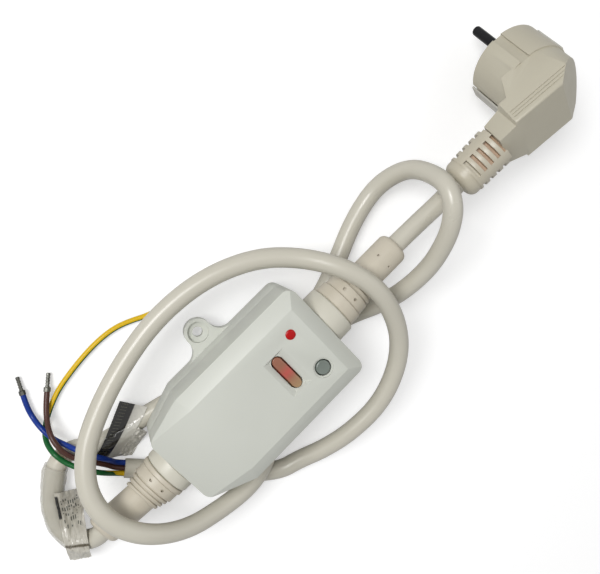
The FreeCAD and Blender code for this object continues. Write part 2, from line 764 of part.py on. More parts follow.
coil_z = board_top + frame_sheet
coil = ring(coil_x, coil_y, coil_z, coil_r, coil_bore_r, coil_height)
save("trip_coil", [coil])
frame_top_z = coil_z + coil_height
frame_length = 2 * (coil_r + frame_sheet)
yoke = block(coil_x, coil_y, board_top, frame_length, 2 * coil_r, frame_sheet)
yoke = yoke.fuse(block(coil_x, coil_y, frame_top_z, frame_length, 2 * coil_r, frame_sheet))
yoke = yoke.fuse(block(coil_x - coil_r - frame_sheet / 2, coil_y, board_top, frame_sheet, 2 * coil_r,
                       coil_height + 2 * frame_sheet))
yoke = yoke.cut(rod(coil_x, coil_y, frame_top_z, coil_bore_r, frame_sheet))
save("trip_frame", [yoke.removeSplitter()])
head_z = frame_top_z + frame_sheet + plunger_travel + plunger_play
plunger = rod(coil_x, coil_y, head_z - plunger_length + plunger_head_thickness, plunger_r, plunger_length)
plunger = plunger.fuse(rod(coil_x, coil_y, head_z, plunger_head_r, plunger_head_thickness))
save("trip_plunger", [plunger.removeSplitter()])
save("plunger_spring", [ring(coil_x, coil_y, frame_top_z + frame_sheet, plunger_head_r - plunger_spring_inset,
                             plunger_r + plunger_spring_gap, head_z - frame_top_z - frame_sheet)])

varistor = Part.makeCylinder(varistor_r, varistor_thickness,
                             Vector(varistor_x - varistor_thickness / 2, varistor_y, board_top + varistor_r),
                             along_x)
save("varistor", [varistor])
save("capacitor", [block(capacitor_x, capacitor_y, board_top, *capacitor_size)])

terminals = {"supply_terminals": supply_terminal_x, "load_terminals": load_terminal_x}
terminal_screws = []
terminal_bodies = []
for name, x in terminals.items():
    pair = []
    for y in (-terminal_spacing / 2, terminal_spacing / 2):
        body = block(x, y, board_top, *terminal_size)
        top = board_top + terminal_size[2]
        screw = rod(x, y, top - terminal_screw_depth, terminal_screw_r, terminal_screw_depth)
        screw = screw.fuse(rod(x, y, top, terminal_head_r, terminal_head_thickness))
        terminal_screws.append(screw.removeSplitter())
        pair.append(body.cut(screw))
        terminal_bodies.append(body)
    save(name, pair)
save("terminal_screws", terminal_screws)

# Cord clamps with their screws
clamp_screws = []
for name, side, axis_z, cord in (("supply_cord_clamp", 1, supply_z, supply_end),
                                 ("load_cord_clamp", -1, load_z, load_end)):
    x = clamp_x(side)
    bar = block(x, 0, axis_z + clamp_split, clamp_thickness, 2 * clamp_half_width, clamp_height).cut(cord)
    head_base = axis_z + clamp_split + clamp_height
    for y in (-clamp_screw_y, clamp_screw_y):
        screw = rod(x, y, head_base - clamp_screw_depth + clamp_split, clamp_screw_r, clamp_screw_depth)
        screw = screw.fuse(rod(x, y, head_base, clamp_head_r, clamp_head_thickness)).removeSplitter()
        clamp_screws.append(screw)
        bar = bar.cut(screw)
    save(name, [bar])
save("clamp_screws", clamp_screws)

# Leads inside the housing, from the cords' ends to the terminals
lead_z = board_top + terminal_size[2] / 2
for name, end_x, end_z, cord, terminal_x, bodies in (
        ("supply_leads", cord_end_x, supply_z - 1, supply_end, supply_terminal_x, terminal_bodies[:2]),
        ("load_leads", load_cord_end_x, load_z, load_end, load_terminal_x, terminal_bodies[2:])):
    leads = []
    for side, terminal in zip((-1, 1), bodies):
        start = Vector(end_x, side * core_pitch_r, end_z)
        run = Vector(terminal_x, side * terminal_spacing / 2, lead_z) - start
        wire = Part.makeCylinder(lead_r, run.Length + lead_bite, start - run * (lead_bite / run.Length), run)
        leads.append(wire.cut(cord).cut(terminal))
    save(name, leads)
lane_z = board_top + 1.5
earth_points = [
    (cord_end_x, 0, supply_z + core_pitch_r), (cord_end_x - 1.6, 0.6, supply_z + 2.6),
    (cord_end_x - 1.7, 6, supply_z + 3.7), (cord_end_x - 2.5, 13.5, supply_z + 1.9),
    (cord_end_x - 9, earth_lane_y - 1.1, supply_z - 2.6), (cord_end_x - 19, earth_lane_y, lane_z + 0.4),
    (2, earth_lane_y + 0.1, lane_z), (-12, earth_lane_y + 0.1, lane_z),
    (load_cord_end_x + 9.5, earth_lane_y - 0.2, load_z + 0.1), (load_cord_end_x + 4.5, 13.5, load_z + 2.5),
    (load_cord_end_x + 3, 6.5, load_z + 4.7), (load_cord_end_x + 2.1, 0.8, load_z + 3.7),
    (load_cord_end_x, 0, load_z + core_pitch_r)]
save("earth_lead", [tube(earth_points, earth_lead_r, "earth_lead").cut(supply_end).cut(load_end)])

# Cores of the stripped end with their crimped pins
for name, route in (("blue", blue_route), ("brown", brown_route), ("earth", earth_route)):
    save("core_" + name, [tube(route, core_r, "core_" + name)])
    tip = Vector(*route[-1])
    heading = tip - Vector(*route[-2])
    heading.normalize()
    collar = Part.makeCylinder(crimp_collar_r, crimp_collar_length, tip, heading)
    pin = Part.makeCylinder(crimp_pin_r, crimp_pin_length, tip, heading)
    save("crimp_pin_" + name, [collar.fuse(pin).removeSplitter()])

# Plug, made about its face centre with +X along the cable and +Z along the pins, then laid down
plug_x = Vector(plug_cable_dir).normalize()
plug_z = Vector(plug_pin_dir)
plug_z = (plug_z - plug_x * plug_z.dot(plug_x)).normalize()
plug_y = plug_z.cross(plug_x)
plug_matrix = FreeCAD.Matrix(
    plug_x.x, plug_y.x, plug_z.x, plug_face_x,
    plug_x.y, plug_y.y, plug_z.y, plug_face_y,
    plug_x.z, plug_y.z, plug_z.z, plug_face_z,
    0, 0, 0, 1)
plug_place = FreeCAD.Placement(plug_matrix)


def lay(solid):
    """Moves a plug piece from its own frame onto the table."""
    placed = solid.copy()
    placed.Placement = plug_place.multiply(placed.Placement)
    return placed


def in_plug(point):
    """A table point in the plug's own frame."""
    return plug_place.inverse().multVec(Vector(*point))


def prism(corners, rise):
    """A solid that rises from the outline through corners."""
    return Part.Face(Part.makePolygon(corners + corners[:1])).extrude(rise)


# Pins with thinner roots that sit in the face, and the earth strips on a bar between them
plug_pins = []
for side in (-1, 1):
    y = side * pin_spacing / 2
    pin = rod(0, y, pin_neck, pin_r, pin_length - pin_neck)
    tip = [edge for edge in pin.Edges if edge.BoundBox.Center.z > pin_length - 0.01]
    root = rod(0, y, -pin_root, pin_root_r, pin_root + pin_length / 2)
    plug_pins.append(pin.makeFillet(pin_round, tip).fuse(root).removeSplitter())

clip_x = barrel_r + clip_proud
earth_clip = block(0, 0, -clip_bar_depth, 2 * clip_x, clip_bar_width, clip_sheet)
for side, depth in ((-1, barrel_depth - 2), (1, clip_end_depth)):
    strip = block(side * (clip_x - clip_sheet / 2), 0, -depth, clip_sheet, clip_width, depth - barrel_round)
    earth_clip = earth_clip.fuse(strip)
earth_clip = earth_clip.removeSplitter()

face = rod(0, 0, -face_thickness, face_r, face_thickness)
for pin in plug_pins:
    face = face.cut(pin)

# The cord's end in the plug follows the grip first and then the guard, which leans a little
guard_start = Vector(grip_end_x, 0, -guard_depth)
cord_start = in_plug(supply_route[0])
guard_dir = (cord_start - guard_start).normalize()
cord_in_plug = tube([tuple(in_plug(point)) for point in supply_route[:4]], cord_r)
jacket = tube([(plug_jacket_end, 0, -guard_depth), tuple(guard_start), tuple(cord_start)], cord_r)
jacket = jacket.cut(cord_in_plug)
plug_leads = []
for side in (-1, 1):
    plug_leads.append(tube([(plug_jacket_end + lead_bite, side * core_pitch_r, -guard_depth),
                            (plug_lead_turn.x, side * plug_lead_turn.y, plug_lead_turn.z),
                            (plug_lead_rise.x, side * plug_lead_rise.y, plug_lead_rise.z),
                            (0, side * pin_spacing / 2, 1 - pin_root)], plug_lead_r))
plug_leads.append(tube([(plug_jacket_end + lead_bite, 0, core_pitch_r - guard_depth),
                        (plug_lead_turn.x + 1, 0, core_pitch_r + plug_lead_turn.z),
                        (plug_earth_rise_x, 0, plug_lead_rise.z),
                        (plug_earth_rise_x - 2, 0, clip_sheet / 2 - clip_bar_depth)], plug_lead_r))
for number, lead in enumerate(plug_leads):
    for piece in plug_pins + [earth_clip, jacket]:
        lead = lead.cut(piece)
    plug_leads[number] = lead

# Moulded body: a round barrel, and a grip with flat sides that close towards its back, whose end follows the
# barrel
barrel = rod(0, 0, -barrel_depth, barrel_r, barrel_depth)
barrel = barrel.makeFillet(barrel_round, [edge for edge in barrel.Edges if edge.BoundBox.Center.z > -0.01])
joint_z = barrel_round - barrel_depth
round_back = rod(0, 0, -grip_back, grip_r, grip_back + joint_z)
round_back = round_back.common(block(-grip_r, 0, -grip_back, 2 * grip_r, 2 * grip_r, grip_back))
round_front = rod(0, 0, -grip_front_depth, barrel_r, grip_front_depth + joint_z)
round_front = round_front.common(block(barrel_r, 0, -grip_back, 2 * barrel_r, 2 * barrel_r, grip_back))
flat_x = math.sqrt(barrel_r ** 2 - grip_half ** 2)
side_outline = [(0, joint_z), (0, -grip_back), (neck_step_x, -grip_back), (grip_end_x, -grip_end_back),
                (grip_end_x, -grip_front_depth), (grip_front_x, -grip_front_depth), (flat_x, joint_z)]
tail = prism([Vector(x, -barrel_r, z) for x, z in side_outline], Vector(0, 2 * barrel_r, 0))
half_plan = [(-2 * grip_r, barrel_r), (neck_step_x, barrel_r), (neck_start_x, neck_start_half),
             (grip_end_x, grip_end_half)]
plan = half_plan + [(x, -y) for x, y in reversed(half_plan)]
plan_form = prism([Vector(x, y, -grip_back) for x, y in plan], Vector(0, 0, grip_back + joint_z))
grip = round_back.fuse(tail).common(plan_form).removeSplitter()
flat_rise = Vector(0, grip_front_half - grip_half, grip_back + joint_z)
flat_share = flat_rise.y / flat_rise.z
for side in (-1, 1):
    outward = Vector(0, side * flat_rise.z, -flat_rise.y)
    grip = clip(grip, Vector(0, side * grip_half, -grip_back), outward.normalize())
    round_front = clip(round_front, Vector(0, side * grip_half, -grip_back), outward)


def on_flat(point):
    """True for a point on one of the grip's two flats."""
    return abs(abs(point.y) - grip_half - (point.z + grip_back) * flat_share) < 0.01


end_slope = Vector(grip_slope_end_depth - grip_back, 0, -grip_r - grip_slope_start_x)
grip = clip(grip, Vector(grip_slope_start_x, 0, -grip_back), end_slope.normalize())
rims = [edge for edge in grip.Edges
        if edge.BoundBox.YLength < 0.01 and all(on_flat(corner.Point) for corner in edge.Vertexes)
        and edge.BoundBox.Center.z < -grip_slope_end_depth and edge.BoundBox.Center.x < neck_step_x]
grip = grip.makeFillet(grip_edge_round, rims)
ridge_length = neck_step_x + grip_slope_end_depth / 2
for side in (-1, 1):
    for ridge in range(ridge_count):
        ridge_rise = ridge_first + ridge * ridge_spacing
        grip = grip.cut(block(neck_step_x - ridge_length / 2, side * (grip_half + ridge_rise * flat_share),
                              ridge_rise - grip_back, ridge_length, 2 * ridge_depth, ridge_width))
plug_body = barrel.fuse(grip).fuse(round_front.common(plan_form)).removeSplitter()
for side in (-1, 1):
    groove = block(0, side * barrel_r, -barrel_depth, groove_width, 2 * groove_depth, barrel_depth)
    plug_body = plug_body.cut(groove)
    recess = block(side * barrel_r, 0, -barrel_depth + 1, 2 * clip_recess, clip_width + 2 * fit, barrel_depth)
    plug_body = plug_body.cut(recess)
for piece in plug_pins + plug_leads + [earth_clip, face, jacket]:
    plug_body = plug_body.cut(piece)
face = face.cut(earth_clip)

# Cord guard, made along +X from the grip's end
guard_core_r = cord_r + guard_slot_floor
origin = Vector(0, 0, 0)
guard = Part.makeCone(guard_r, guard_end_r, guard_length, origin, along_x)
for row in range(guard_rows):
    for quarter in range(4):
        slot = block(guard_first_slot + row * guard_pitch, 0, guard_core_r, guard_slot_width, guard_slot_reach,
                     guard_slot_depth)
        slot.rotate(origin, along_x, guard_slot_turn + 90 * quarter)
        guard = guard.cut(slot)
nose_end = guard_length + nose_length
nose = Part.makeCylinder(nose_r, nose_length, Vector(guard_length, 0, 0), along_x)
nose = nose.makeFillet(nose_round, [edge for edge in nose.Edges if abs(edge.BoundBox.Center.x - nose_end) < 0.01])
root = Part.makeCylinder(guard_core_r, 2 * guard_first_slot, Vector(-guard_first_slot, 0, 0), along_x)
guard = guard.fuse(nose).fuse(root).removeSplitter()
guard.Placement = FreeCAD.Placement(guard_start, FreeCAD.Rotation(along_x, guard_dir))

for piece in (jacket, cord_in_plug, plug_body):
    guard = guard.cut(piece)
guard = max(guard.Solids, key=lambda solid: solid.Volume)

save("plug_pins", [lay(pin) for pin in plug_pins])
save("plug_earth_clip", [lay(earth_clip)])
save("plug_face", [lay(face)])
save("plug_cord_end", [lay(jacket)])
save("plug_leads", [lay(lead) for lead in plug_leads])
save("plug_body", [lay(plug_body)])
save("plug_boot", [lay(guard)])

# Film: a sleeve round the bend near the tail, and on the strand beside it a wrapped label with a flag
film_outer = tube(load_route[4:8], cord_r + film_gap + film_wall)
film_inner = tube(load_route[3:9], cord_r + film_gap)
above_table = Part.makeBox(reach, reach, reach, Vector(-reach / 2, -reach / 2, 0))
save("bend_film", [film_outer.cut(film_inner).common(above_table)])
label_corner = Vector(*load_route[10])
label_start = label_corner + (Vector(*load_route[9]) - label_corner) * label_start_share
label_end = label_corner + (Vector(*load_route[11]) - label_corner) * label_end_share
label_run = label_end - label_start
label_r = cord_r + film_gap + film_wall
label_outer = Part.makeCylinder(label_r, label_run.Length, label_start, label_run)
label_dir = label_run.normalize()
label_side = up.cross(label_dir)
flag_ends = []
for along, flag_reach in ((0, flag_near_reach), (flag_length, flag_far_reach)):
    centre = label_start + label_dir * along
    top = centre + label_side * (label_r * math.cos(flag_top_angle)) + up * (label_r * math.sin(flag_top_angle))
    foot = Vector(centre.x, centre.y, flag_foot_z) + label_side * flag_reach
    inward = label_dir.cross(foot - top).normalize() * -film_wall
    flag_ends.append(Part.makePolygon([top, foot, foot + inward, top + inward, top]))
flag = Part.makeLoft(flag_ends, True, True)
label = label_outer.fuse(flag).cut(tube(load_route[8:13], cord_r + film_gap))
save("strand_label", [label.common(above_table)])


def path_points(points, step):
    """Points every step along a tube's path, for measuring."""
    path = tube_path(points, "")
    return path.discretize(Number=int(path.Length / step))


def least_self_gap(points, radius, step):
    """Smallest clearance between stretches of one cord that are more than a half turn apart."""
    places = path_points(points, step)
    apart = int(2 * math.pi * radius / step)
    least = reach
    for number, place in enumerate(places):
        for other in places[number + apart:]:
            least = min(least, place.distanceToPoint(other))
    return least - 2 * radius


print("load_cord least gap to itself %.2f" % least_self_gap(load_route, cord_r, 1.0))
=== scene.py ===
# %% [markdown]
# A power cord with a residual current switch, dressed for the photograph's view.
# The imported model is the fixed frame: every piece that is made here sits where its solid sits.
# The lesson goes from the camera and the cords to the housing, the plug and the films, and ends with the
# finishes and the light.

import json
import math

import bpy
from mathutils import Matrix, Vector, noise


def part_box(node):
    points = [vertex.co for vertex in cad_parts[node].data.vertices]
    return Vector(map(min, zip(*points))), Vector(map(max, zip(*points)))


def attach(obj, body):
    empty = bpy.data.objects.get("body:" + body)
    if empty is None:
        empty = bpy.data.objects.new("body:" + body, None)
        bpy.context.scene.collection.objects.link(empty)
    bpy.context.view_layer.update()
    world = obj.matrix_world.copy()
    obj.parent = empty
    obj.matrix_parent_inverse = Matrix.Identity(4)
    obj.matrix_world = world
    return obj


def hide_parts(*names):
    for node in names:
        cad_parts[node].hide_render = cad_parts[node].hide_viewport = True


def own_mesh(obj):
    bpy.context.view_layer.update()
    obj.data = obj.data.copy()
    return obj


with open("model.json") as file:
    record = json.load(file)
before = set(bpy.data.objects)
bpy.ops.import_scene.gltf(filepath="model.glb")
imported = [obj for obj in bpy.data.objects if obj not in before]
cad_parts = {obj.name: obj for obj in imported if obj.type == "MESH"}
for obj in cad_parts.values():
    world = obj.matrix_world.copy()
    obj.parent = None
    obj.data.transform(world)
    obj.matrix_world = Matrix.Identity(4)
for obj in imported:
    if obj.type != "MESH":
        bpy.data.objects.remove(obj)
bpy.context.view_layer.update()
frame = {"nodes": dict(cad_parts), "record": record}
nodes = frame["nodes"]

# %% [markdown]
# The routes are written as they lie on the table, in millimetres, with the housing above the origin.
# The frame's own origin is in the middle of the housing, so one small helper moves a point over.
# It is easier to check a cord on its table than from the middle of a box.

# %% From the table to the frame
MM = 0.001
TABLE_TO_FRAME = Vector((-1.25, -7.05, -27.45))
UP = Vector((0, 0, 1))
FLOOR_Z = TABLE_TO_FRAME.z * MM


def place(x, y, z):
    """A point on the table, in millimetres, as a point of the frame in metres."""
    return (Vector((x, y, z)) + TABLE_TO_FRAME) * MM


print("table at", round(FLOOR_Z, 5), "m")

# %% [markdown]
# Three small steps come back all through the lesson: an object is put into the scene, a piece is selected
# alone, because an operator acts on all that is selected, and a finished piece takes its solid's place.

# %% Small helpers


def linked(name, data):
    """A new object in the scene."""
    thing = bpy.data.objects.new(name, data)
    bpy.context.scene.collection.objects.link(thing)
    return thing


def only(piece):
    """Selects one piece and nothing else."""
    bpy.ops.object.select_all(action="DESELECT")
    piece.select_set(True)
    bpy.context.view_layer.objects.active = piece
    return piece


def stand_in_for(piece, body, *stands_for):
    """Lets a piece ride on its body and take the place of its solids."""
    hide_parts(*stands_for)
    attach(piece, body)
    return piece


# %% [markdown]
# The camera stands above the table and looks down, turned so that the housing runs up to the right.
# Its place and turn were worked out from the housing's edges and the plug's pins in the photograph.
# The three axes are written out, which fixes roll as well as direction.

# %% Camera
CAMERA_PLACE = (11.93, 108.39, 347.05)
CAMERA_RIGHT = Vector((0.70131, -0.66017, 0.26897))
CAMERA_DOWN = Vector((-0.7039, -0.70094, 0.11494))
CAMERA_FORWARD = Vector((0.11265, -0.26994, -0.95627))
CAMERA_LENS = 44.6
CAMERA_SENSOR = 36.0

camera_data = bpy.data.cameras.new("camera")
camera_data.lens = CAMERA_LENS
camera_data.sensor_width = CAMERA_SENSOR
camera = linked("camera", camera_data)
turn = Matrix((CAMERA_RIGHT, -CAMERA_DOWN, -CAMERA_FORWARD)).transposed()
camera.matrix_world = Matrix.Translation(place(*CAMERA_PLACE)) @ turn.to_4x4()
bpy.context.scene.camera = camera
print("camera at", tuple(round(value, 3) for value in camera.location))

# %% [markdown]
# The long cord leaves the housing's sloping end, goes round below the housing, turns under the plug,
# comes back beneath and then loops over everything before its stripped end lies down at the left.
# The points were chosen where the cord runs in the photograph, and they are the solids' own, so
# every cord passes the same crossings as its solid.

# %% Routes on the table
SUPPLY_ROUTE = [
    (143.6, 1.5, 33.8), (134.3, 0.8, 31.6), (124.6, 0, 30.3), (111.8, 0, 28.6), (102.1, 0, 27.7),
    (95, 0, 27.3), (88, 0, 27.3)]
LOAD_ROUTE = [
    (-80.5, 0, 18), (-88, 0, 16.3), (-95.5, -1.5, 12.5), (-102.5, 2.5, 7.5), (-104.5, 11, 4.5),
    (-100.5, 20, 4.5), (-92.5, 28, 4.5), (-84, 34.5, 4.5), (-75, 34.5, 4.5), (-67.5, 27.5, 4.5),
    (-55, 23.5, 4.5), (-35, 19.5, 4.5), (-12, 11.5, 4.5), (12, 3.5, 4.5), (34, -1, 4.5),
    (54, 0, 4.5), (74, 7.5, 4.5), (90, 15, 4.5), (107, 20, 5.5), (117.5, 21.5, 12),
    (126, 19.9, 22), (128, 15, 33.7), (126.8, 8.7, 45), (122, 0.5, 47.6), (116.5, -6.5, 44.5),
    (110, -12.5, 39), (100.5, -18, 32), (89.5, -20, 26), (80, -20.5, 19.5), (71.5, -19.5, 12.5),
    (64, -17.5, 6.5), (48, -12, 4.5), (32, -13, 4.5), (16, -18, 4.5), (4, -24, 4.5),
    (-8, -31, 5.5), (-19, -35.5, 12.5), (-32, -36, 17), (-47.5, -31.5, 21.5), (-62, -24, 28.5),
    (-73, -10.5, 36), (-79.5, 5, 36.5), (-78, 20.5, 33.5), (-67.5, 33.5, 31), (-52.5, 42, 29),
    (-30.5, 49.5, 27.5), (-5, 54, 27), (21, 52, 28.5), (43.5, 43, 31), (58.5, 29, 34),
    (68.5, 13, 41), (73, -4.5, 42.6), (69.5, -26.5, 35.4), (58.5, -42, 29), (40.5, -51.5, 24.5),
    (21, -53.5, 19), (5.5, -52.5, 12.5), (-6.5, -49.5, 7), (-18, -47, 4.5), (-31, -33, 4.5),
    (-44, -17.5, 4.5), (-55, -3, 4.5), (-65.5, 10, 4.5)]
BLUE_ROUTE = [
    (-63.48, 11.64, 4.5), (-66.12, 14.91, 4.5), (-66.5, 19.6, 8.9), (-68.4, 25.6, 12.7),
    (-70.9, 32.4, 13.2), (-73.6, 38, 9.5), (-76, 43.8, 7.2), (-76.2, 50.8, 6.2), (-75.8, 56.9, 2.2),
    (-73.7, 62.2, 2.8), (-71.3, 66.7, 2.3)]
BROWN_ROUTE = [
    (-65.5, 10, 4.5), (-68.14, 13.27, 4.5), (-69.4, 17.1, 5.2), (-71.3, 22.1, 7.7),
    (-73.5, 28.6, 11.5), (-75.8, 34.8, 13), (-75.8, 41.6, 12.9), (-74.4, 47.3, 10.6),
    (-71.3, 52.4, 6.7), (-67, 57, 4.7), (-63.1, 60.4, 3.5)]
EARTH_ROUTE = [
    (-67.53, 8.37, 4.5), (-70.16, 11.63, 4.5), (-71.3, 15.2, 8.8), (-73.6, 21, 12.9),
    (-76.5, 26.9, 13.1), (-79.2, 33.3, 11.7), (-79.7, 40, 11.2), (-79.5, 45.3, 4.3), (-75.2, 49.8, 2.2),
    (-69.1, 53.4, 2.2), (-60.6, 57, 1.7), (-51.5, 58.9, 1.8), (-40.7, 60.3, 1.8), (-31.1, 60.6, 1.8),
    (-22.4, 59.6, 1.8), (-14.8, 56.7, 1.8), (-8.7, 53.4, 2.1), (-2.9, 51.5, 2.1)]
print("points on the long cord:", len(LOAD_ROUTE))

# %% [markdown]
# Each cord is one smooth curve with a round section. That is better than a mesh tube here, because it stays
# one clean spline, and its true length can be read from it.

# %% A cord from its route
CORD_R = 4.5
CORE_R = 1.25
CORD_STEPS = 10
CORD_ROUNDNESS = 7


def cord_curve(name, route, radius, node):
    """One open spline on the route's points, thick as the cord, in place of its solid."""
    data = bpy.data.curves.new(name, "CURVE")
    data.dimensions = "3D"
    data.resolution_u = CORD_STEPS
    data.bevel_depth = 1.0
    data.bevel_resolution = CORD_ROUNDNESS
    data.use_fill_caps = True
    spline = data.splines.new("NURBS")
    spline.points.add(len(route) - 1)
    for point, spot in zip(spline.points, route):
        point.co = (*place(*spot), 1.0)
        point.radius = radius * MM
    spline.order_u = 3
    spline.use_endpoint_u = True
    return stand_in_for(linked(name, data), "housing", node)


def centreline(cord):
    """Points along a cord's own spline, read from the curve with no thickness."""
    data = cord.data.copy()
    data.bevel_depth = 0
    bare = bpy.data.objects.new("centreline", data)
    mesh = bpy.data.meshes.new_from_object(bare)
    points = [vertex.co.copy() for vertex in mesh.vertices]
    bpy.data.objects.remove(bare)
    bpy.data.meshes.remove(mesh)
    bpy.data.curves.remove(data)
    return points


def length_of(points):
    """Length of a line of points."""
    return sum((b - a).length for a, b in zip(points, points[1:]))


# %% The two cords and the three cores
supply_cord = cord_curve("cord_plug_to_switch", SUPPLY_ROUTE, CORD_R, "supply_cord")
load_cord = cord_curve("cord_long", LOAD_ROUTE, CORD_R, "load_cord")
blue_core = cord_curve("core_wire_blue", BLUE_ROUTE, CORE_R, "core_blue")
brown_core = cord_curve("core_wire_brown", BROWN_ROUTE, CORE_R, "core_brown")
earth_core = cord_curve("core_wire_earth", EARTH_ROUTE, CORE_R, "core_earth")
for cord in (supply_cord, load_cord, blue_core, brown_core, earth_core):
    length_of(centreline(cord))

# %% [markdown]
# The housing is two moulded shells. Its solids already have the chamfers, the sloping end and the lug,
# but a moulded edge is never knife sharp, and a sharp edge catches no light.
# So each shell is a merged copy of its solid whose edges get a small round with a bevel.

# %% Soft edges for a moulded piece
EDGE_ANGLE = math.radians(25)
MERGE_DISTANCE = 1e-5
FLAT_ANGLE = math.radians(0.6)


def apply_modifiers(piece):
    """Makes the modifiers part of the mesh."""
    only(piece)
    for modifier in list(piece.modifiers):
        bpy.ops.object.modifier_apply(modifier=modifier.name)


def smooth(piece, angle=EDGE_ANGLE):
    """Smooth shading that keeps the real edges."""
    only(piece)
    bpy.ops.object.shade_smooth_by_angle(angle=angle)


def round_edges(piece, width, segments=3):
    """Rounds the sharp edges."""
    bevel = piece.modifiers.new("round", "BEVEL")
    bevel.width = width * MM
    bevel.segments = segments
    bevel.limit_method = "ANGLE"
    bevel.angle_limit = EDGE_ANGLE
    bevel.use_clamp_overlap = True
    apply_modifiers(piece)
    smooth(piece)


def merged_copy(node, name):
    """A clean copy of a solid, with its loose triangles merged and flat faces joined."""
    piece = linked(name, nodes[node].data.copy())
    piece.data.materials.clear()
    only(piece)
    bpy.ops.object.mode_set(mode="EDIT")
    bpy.ops.mesh.select_all(action="SELECT")
    bpy.ops.mesh.remove_doubles(threshold=MERGE_DISTANCE)
    bpy.ops.mesh.dissolve_limited(angle_limit=FLAT_ANGLE)
    bpy.ops.object.mode_set(mode="OBJECT")
    return piece


def softened(node, name, width, segments=3):
    """A copy of a fixed solid with rounded edges, in the solid's place."""
    piece = merged_copy(node, name)
    round_edges(piece, width, segments)
    return stand_in_for(piece, "housing", node)


# %% Two shells of the housing
SHELL_ROUND = 0.5
cover = softened("housing_cover", "shell_cover", SHELL_ROUND)
base = softened("housing_base", "shell_base", SHELL_ROUND)
print("cover faces", len(cover.data.polygons), "base faces", len(base.data.polygons))

# %% [markdown]
# The collars and strain reliefs are round about the cord, so they are turned like work on a lathe:
# a filled circle is pushed out step by step, and each new ring gets its own radius.
# Blind holes are cut afterwards, as the mould's own pegs would leave them.

# %% Turning on the lathe
ROUND_SIDES = 72


def turned(name, start, heading, stations, sides=ROUND_SIDES):
    """A round piece along heading; stations are (distance, radius) in millimetres, first to last."""
    heading = Vector(heading).normalized()
    turn_to = UP.rotation_difference(heading).to_euler()
    first_distance, first_radius = stations[0]
    centre = start + heading * first_distance * MM
    bpy.ops.object.select_all(action="DESELECT")
    bpy.ops.mesh.primitive_circle_add(vertices=sides, radius=first_radius * MM, fill_type="NGON",
                                      location=centre, rotation=turn_to)
    piece = bpy.context.active_object
    piece.name = name
    bpy.ops.object.transform_apply(location=True, rotation=True, scale=True)
    bpy.ops.object.mode_set(mode="EDIT")
    bpy.ops.mesh.select_all(action="SELECT")
    distance, radius = first_distance, first_radius
    for next_distance, next_radius in stations[1:]:
        step = heading * (next_distance - distance) * MM
        centre = centre + step
        bpy.ops.mesh.extrude_region_move(TRANSFORM_OT_translate={"value": step})
        share = next_radius / radius
        bpy.ops.transform.resize(value=(share, share, share), center_override=centre)
        distance, radius = next_distance, next_radius
    bpy.ops.mesh.select_all(action="DESELECT")
    bpy.ops.mesh.select_non_manifold(extend=False, use_boundary=True)
    bpy.ops.mesh.edge_face_add()
    bpy.ops.mesh.select_all(action="SELECT")
    bpy.ops.mesh.normals_make_consistent(inside=False)
    bpy.ops.object.mode_set(mode="OBJECT")
    smooth(piece)
    return piece


def cut_away(piece, cutters):
    """Cuts the cutters' shapes out of the piece and removes them."""
    for cutter in cutters:
        cut = piece.modifiers.new("cut", "BOOLEAN")
        cut.operation = "DIFFERENCE"
        cut.solver = "EXACT"
        cut.object = cutter
        apply_modifiers(piece)
        bpy.data.objects.remove(cutter)
    smooth(piece)


# %% Collars
HALF_LENGTH = 45.0
SUPPLY_Z, SUPPLY_COLLAR, SUPPLY_COLLAR_R = 27.3, 9.0, 12.6
LOAD_Z, LOAD_COLLAR, LOAD_COLLAR_R = 22.5, 6.5, 11.6
COLLAR_SINK = 0.2


def collar(name, side, axis_z, radius, length, node):
    """A white collar with rounded rims and a fine step at its foot."""
    start = place(side * (HALF_LENGTH - COLLAR_SINK), 0, axis_z)
    stations = [(0, radius - 0.5), (0.7, radius - 0.5), (0.8, radius), (length - 1.1, radius - 0.1),
                (length - 0.5, radius - 0.3), (length - 0.05, radius - 0.8), (length + 0.2, radius - 1.5)]
    piece = turned(name, start, (side, 0, 0), stations)
    return stand_in_for(piece, "housing", node)


supply_collar = collar("collar_plug_side", 1, SUPPLY_Z, SUPPLY_COLLAR_R, SUPPLY_COLLAR, "supply_gland_nut")
load_collar = collar("collar_load_side", -1, LOAD_Z, LOAD_COLLAR_R, LOAD_COLLAR, "load_gland_nut")
print("collar faces", len(supply_collar.data.polygons), len(load_collar.data.polygons))

# %% [markdown]
# The strain reliefs are one soft moulding each: a flange, a ring with two blind holes, three ribs with fine
# grooves between them, each a little slimmer than the last, and a long smooth sleeve with a rounded mouth.
# The stations are listed once and used for both ends; only the flange and the sleeve differ in length.
# The one at the sloping end droops a little, because the cord pulls it down to the table.

# %% Stations of a strain relief
FLANGE_R, FLANGE_RIM = 11.2, 0.4
RING_R, RING_LENGTH = 10.5, 5.4
RIB_R, RIB_LENGTH, RIB_RIM = 9.9, 1.8, 0.35
RIB_STEP, RIB_COUNT = 0.6, 3
GROOVE_LENGTH, GROOVE_DEPTH, GROOVE_DRAFT = 0.6, 0.6, 0.02
SLEEVE_R, SLEEVE_STEPS = 7.6, 8
SLEEVE_FOOT, SLEEVE_MOUTH = 0.1, 2.5
BORE_R, BORE_DEPTH = 4.55, 6


def band(distance, length, radius, rim=0.25):
    """Stations of one ring of a strain relief, with a small round on both its rims."""
    return [(distance, radius - rim), (distance + rim, radius), (distance + length - rim, radius),
            (distance + length, radius - rim)]


